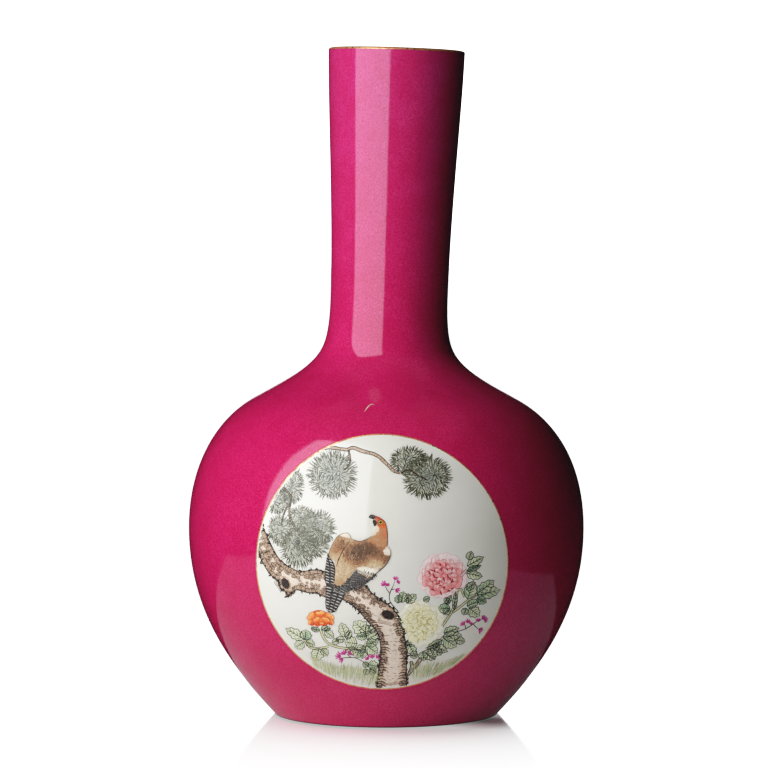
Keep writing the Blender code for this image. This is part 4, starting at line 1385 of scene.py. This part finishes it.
def grass():
    """Thin blades that rise from the panel's lower rim."""
    blades = Enamel()
    for low, high, top, count, slant_by in GRASS:
        for _ in range(count):
            u = uniform(low, high)
            rim = -PANEL_HALF_HEIGHT / MM * math.sqrt(1 - (u * MM / PANEL_HALF_WIDTH) ** 2)
            root = Vector((u, uniform(rim + 0.8, max(top, rim + 3.0))))
            slant = (u - low) * slant_by - 0.3 * (low < 0) + uniform(-0.10, 0.10)
            tip = root + Vector((math.sin(slant), math.cos(slant))) * uniform(4.0, 7.5)
            bend = (root + tip) / 2 + Vector((uniform(-0.2, 0.2), 0.0))
            blades.stroke([root, bend, tip], 0.24, uniform(0.0, 0.9), ends=(0.8, 0.3))
    green = enamel("grass_enamel", (0.66, 0.65, 0.44), (0.50, 0.54, 0.34), (0.22, 0.28, 0.15))
    blades.build("grass", green)


# A small tan mark of wear on the shoulder, over the panel.
SCUFF = ((-9.8, 82.4), (-8.0, 84.6), (-6.3, 86.0), (-4.4, 85.8))


def painting():
    """The whole painted scene on the panel, and the scuff above it."""
    bark = enamel("bark_enamel", (0.76, 0.65, 0.56), (0.54, 0.41, 0.31), (0.30, 0.20, 0.14))
    inks = ((0.46, 0.35, 0.27), (0.17, 0.11, 0.075), (0.028, 0.018, 0.016))
    blacks = ((0.12, 0.09, 0.08), (0.035, 0.025, 0.022), (0.008, 0.007, 0.008))
    ink = enamel("bark_line_enamel", *inks)
    pine_needles()
    pine_twigs(bark, ink)
    pine_limb(bark, ink, enamel("lichen_enamel", *blacks))
    leaves()
    stalks(bark, ink)
    blossoms()
    grass()
    flowers()
    hawk()
    scuff = Enamel()
    scuff.stroke(SCUFF, 0.55, 0.4, ends=(0.4, 0.3), anywhere=True)
    scuff.build("shoulder_scuff", bark)


# --- The stage ---

# Scene light that shows as white, and the tone curve from scene light to what is shown.
TONE_WHITE = 2.0
TONE_POINTS = (
    (0.0, 0.004), (0.023, 0.011), (0.05, 0.029), (0.10, 0.070), (0.17, 0.132), (0.45, 0.45),
    (0.65, 0.62), (0.90, 0.82), (1.25, 1.0),
)
BACKDROP_GLOW, CEILING_GLOW, DARK_GLOW = 2.2, 0.15, 0.01
# The floor's own white. The share of a mirror image at the foot, how far from a spot near the
# axis it starts to fade, the reach over which it fades and over how many reaches it is followed.
# The spot lies right of the axis, so the darker image there is also a painted shadow.
FLOOR_WHITE, MIRROR_SHARE = 1.32, 0.62
MIRROR_SPOT, MIRROR_START, MIRROR_FADE, MIRROR_REACHES = (0.012, 0.0, 0.0), 0.076, 0.064, 8
# The image is stronger about this place, under the right of the foot, as a painted shadow.
CONTACT_SPOT, CONTACT_SHARE, CONTACT_NEAR, CONTACT_FAR = (0.060, -0.034, 0.0), 0.32, 0.006, 0.036
# The floors: name, shade, glow, the ends in x and in y, and the height.
FLOORS = (
    ("table_top", 0.68, 0.09, -0.60, 0.38, -0.9, 0.09, 0.0),
    ("studio_floor", 0.60, 0.60, -12.0, 12.0, -12.0, 12.0, -0.0004),
)
# As parts of a direction: where the screen fades out sideways, in from the front and out at its
# top, and where the ceiling fades in.
SCREEN_SIDE, SCREEN_FRONT, SCREEN_TOP = (0.12, 0.16), (0.0, 0.1), (0.16, 0.20)
CEILING_EDGE = (0.80, 0.88)
KEY_TURN, KEY_DISTANCE, KEY_BASE = math.radians(-41.0), 0.9, 0.10
KEY_WIDTH, KEY_HEIGHT, KEY_RADIANCE = 1.08, 1.76, 4.15
# The fill lights: name, place, the spot they shine at, width, height and radiance.
FILL_LIGHTS = (
    ("rear_fill", (0.3, 2.4, 1.3), (0, 0, 0.2), 1.6, 1.6, 0.6),
    ("side_fill", (-1.2, -0.15, 0.5), (0, 0, 0.25), 0.8, 1.2, 0.75),
)
CAMERA_PLACE, CAMERA_PITCH, CAMERA_LENS = (-0.0013, -2.143, 0.3013), math.radians(87), 175.73


def soft_light(name, place, target, width, tall, radiance, mirrored=True):
    """A rectangular soft box of an even radiance that shines at target."""
    light = bpy.data.lights.new(name, "AREA")
    light.shape, light.size, light.size_y = "RECTANGLE", width, tall
    light.energy = radiance * math.pi * width * tall
    thing = new_object(name, light)
    thing.location = place
    thing.rotation_euler = (Vector(target) - thing.location).to_track_quat("-Z", "Y").to_euler()
    thing.visible_camera, thing.visible_glossy = False, mirrored


def tone_curve():
    """Studio tone: deeper shadows and a soft shoulder under white, as scene light to shown."""
    view = bpy.context.scene.view_settings
    view.view_transform = "Standard"
    view.use_curve_mapping = True
    mapping = view.curve_mapping
    mapping.white_level = (TONE_WHITE, TONE_WHITE, TONE_WHITE)
    places = [(light / TONE_WHITE, shown) for light, shown in TONE_POINTS]
    points = mapping.curves[3].points
    points[0].location, points[1].location = places[0], places[-1]
    for place in places[1:-1]:
        points.new(*place)
    mapping.update()


def far_from(tree, spot):
    """The distance from a spot, in metres."""
    ends = (metres(tree), spot)
    return add(tree, "ShaderNodeVectorMath", *ends, operation="DISTANCE").outputs["Value"]


def floor_paint(name, base, glow):
    """A glossy table white. To the camera it is plain white with a mirror image at the foot."""
    material, tree = new_material(name)
    shade = mixed(tree, noise(tree, 6.0), (base,) * 3, (base * 1.03,) * 3)
    glowing = {"Emission Color": (1, 1, 1), "Emission Strength": glow}
    table = shaded_as(tree, {"Base Color": shade, "Roughness": 0.22, "IOR": 1.8, **glowing})
    end = MIRROR_START + MIRROR_FADE * MIRROR_REACHES
    power = ranged(tree, far_from(tree, MIRROR_SPOT), MIRROR_START, end, 0.0, -MIRROR_REACHES)
    share = ranged(tree, maths(tree, "EXPONENT", power), 0.0, 1.0, 0.0, MIRROR_SHARE)
    # A painted contact shadow: more of the dark mirror image under the right of the foot.
    gap = far_from(tree, CONTACT_SPOT)
    contact_shadow = ranged(tree, gap, CONTACT_NEAR, CONTACT_FAR, CONTACT_SHARE, 0.0)
    white = add(tree, "ShaderNodeEmission", Color=(1, 1, 1), Strength=FLOOR_WHITE).outputs[0]
    image = add(tree, "ShaderNodeBsdfGlossy", Color=(1, 1, 1), Roughness=0.08).outputs[0]
    share = maths(tree, "ADD", share, contact_shadow)
    shown = add(tree, "ShaderNodeMixShader", share, white, image).outputs[0]
    seen = add(tree, "ShaderNodeLightPath").outputs["Is Camera Ray"]
    blend = add(tree, "ShaderNodeMixShader", seen, table, shown).outputs[0]
    put(tree, tree.nodes["Material Output"].inputs["Surface"], blend)
    return material


def surround():
    """Light from all round: a low bright screen behind, a faint ceiling, white to the camera."""
    world = bpy.data.worlds.new("studio")
    bpy.context.scene.world = world
    world.use_nodes = True
    world.cycles_visibility.diffuse = False
    tree = world.node_tree
    along = add(tree, "ShaderNodeTexCoord").outputs["Generated"]
    x, y, z = add(tree, "ShaderNodeSeparateXYZ", along).outputs
    aside = maths(tree, "ABSOLUTE", x)
    screen = ranged(tree, aside, *SCREEN_SIDE, BACKDROP_GLOW, DARK_GLOW)
    screen = maths(tree, "MULTIPLY", screen, ranged(tree, y, *SCREEN_FRONT))
    screen = maths(tree, "MULTIPLY", screen, ranged(tree, z, *SCREEN_TOP, 1.0, 0.0))
    seen = add(tree, "ShaderNodeLightPath").outputs["Is Camera Ray"]
    strength = maths(tree, "MAXIMUM", screen, ranged(tree, seen, 0.0, 1.0, DARK_GLOW, TONE_WHITE))
    strength = maths(tree, "MAXIMUM", strength, ranged(tree, z, *CEILING_EDGE, 0.0, CEILING_GLOW))
    backdrop = tree.nodes["Background"]
    put(tree, backdrop.inputs["Color"], (1, 1, 1))
    put(tree, backdrop.inputs["Strength"], strength)


def stage():
    """The pale floor, the studio light and the camera."""
    for name, base, glow, left, right, front, back, z in FLOORS:
        bm = bmesh.new()
        corners = ((left, front), (right, front), (right, back), (left, back))
        bm.faces.new([bm.verts.new((x, y, z)) for x, y in corners])
        piece = new_object(name, as_mesh(bm, name))
        piece.data.materials.append(floor_paint(name + "_paint", base, glow))
    bpy.data.objects["studio_floor"].visible_diffuse = False
    bpy.data.objects["studio_floor"].visible_glossy = False
    toward = Vector((math.sin(KEY_TURN), -math.cos(KEY_TURN), 0.0)) * KEY_DISTANCE
    place = toward + Vector((0, 0, KEY_BASE + KEY_HEIGHT / 2))
    soft_light("key_softbox", place, (0, 0, place.z), KEY_WIDTH, KEY_HEIGHT, KEY_RADIANCE)
    for fill in FILL_LIGHTS:
        soft_light(*fill, mirrored=False)
    surround()
    camera = new_object("camera", bpy.data.cameras.new("camera"))
    camera.data.lens, camera.data.sensor_width = CAMERA_LENS, 36.0
    camera.location, camera.rotation_euler = CAMERA_PLACE, (CAMERA_PITCH, 0, 0)
    bpy.context.scene.camera = camera
    tone_curve()


def vase():
    """Every turned piece of the vase."""
    gold, inner = gilding(), white_glaze("inner_glaze", warm=1.0)
    clay = bare_clay("biscuit_porcelain", (0.78, 0.72, 0.62), (0.50, 0.38, 0.26))
    slip = bare_clay("porcelain_slip", (0.72, 0.66, 0.57), (0.46, 0.36, 0.26))
    ruby_ground(ruby_enamel())
    white_panel(white_glaze("panel_glaze"))
    gilt_line(gold)
    gilt_lip(gold)
    inner_glaze(inner)
    clay_sections(clay, slip)
    foot(clay, slip, inner)


stage()
vase()
painting()
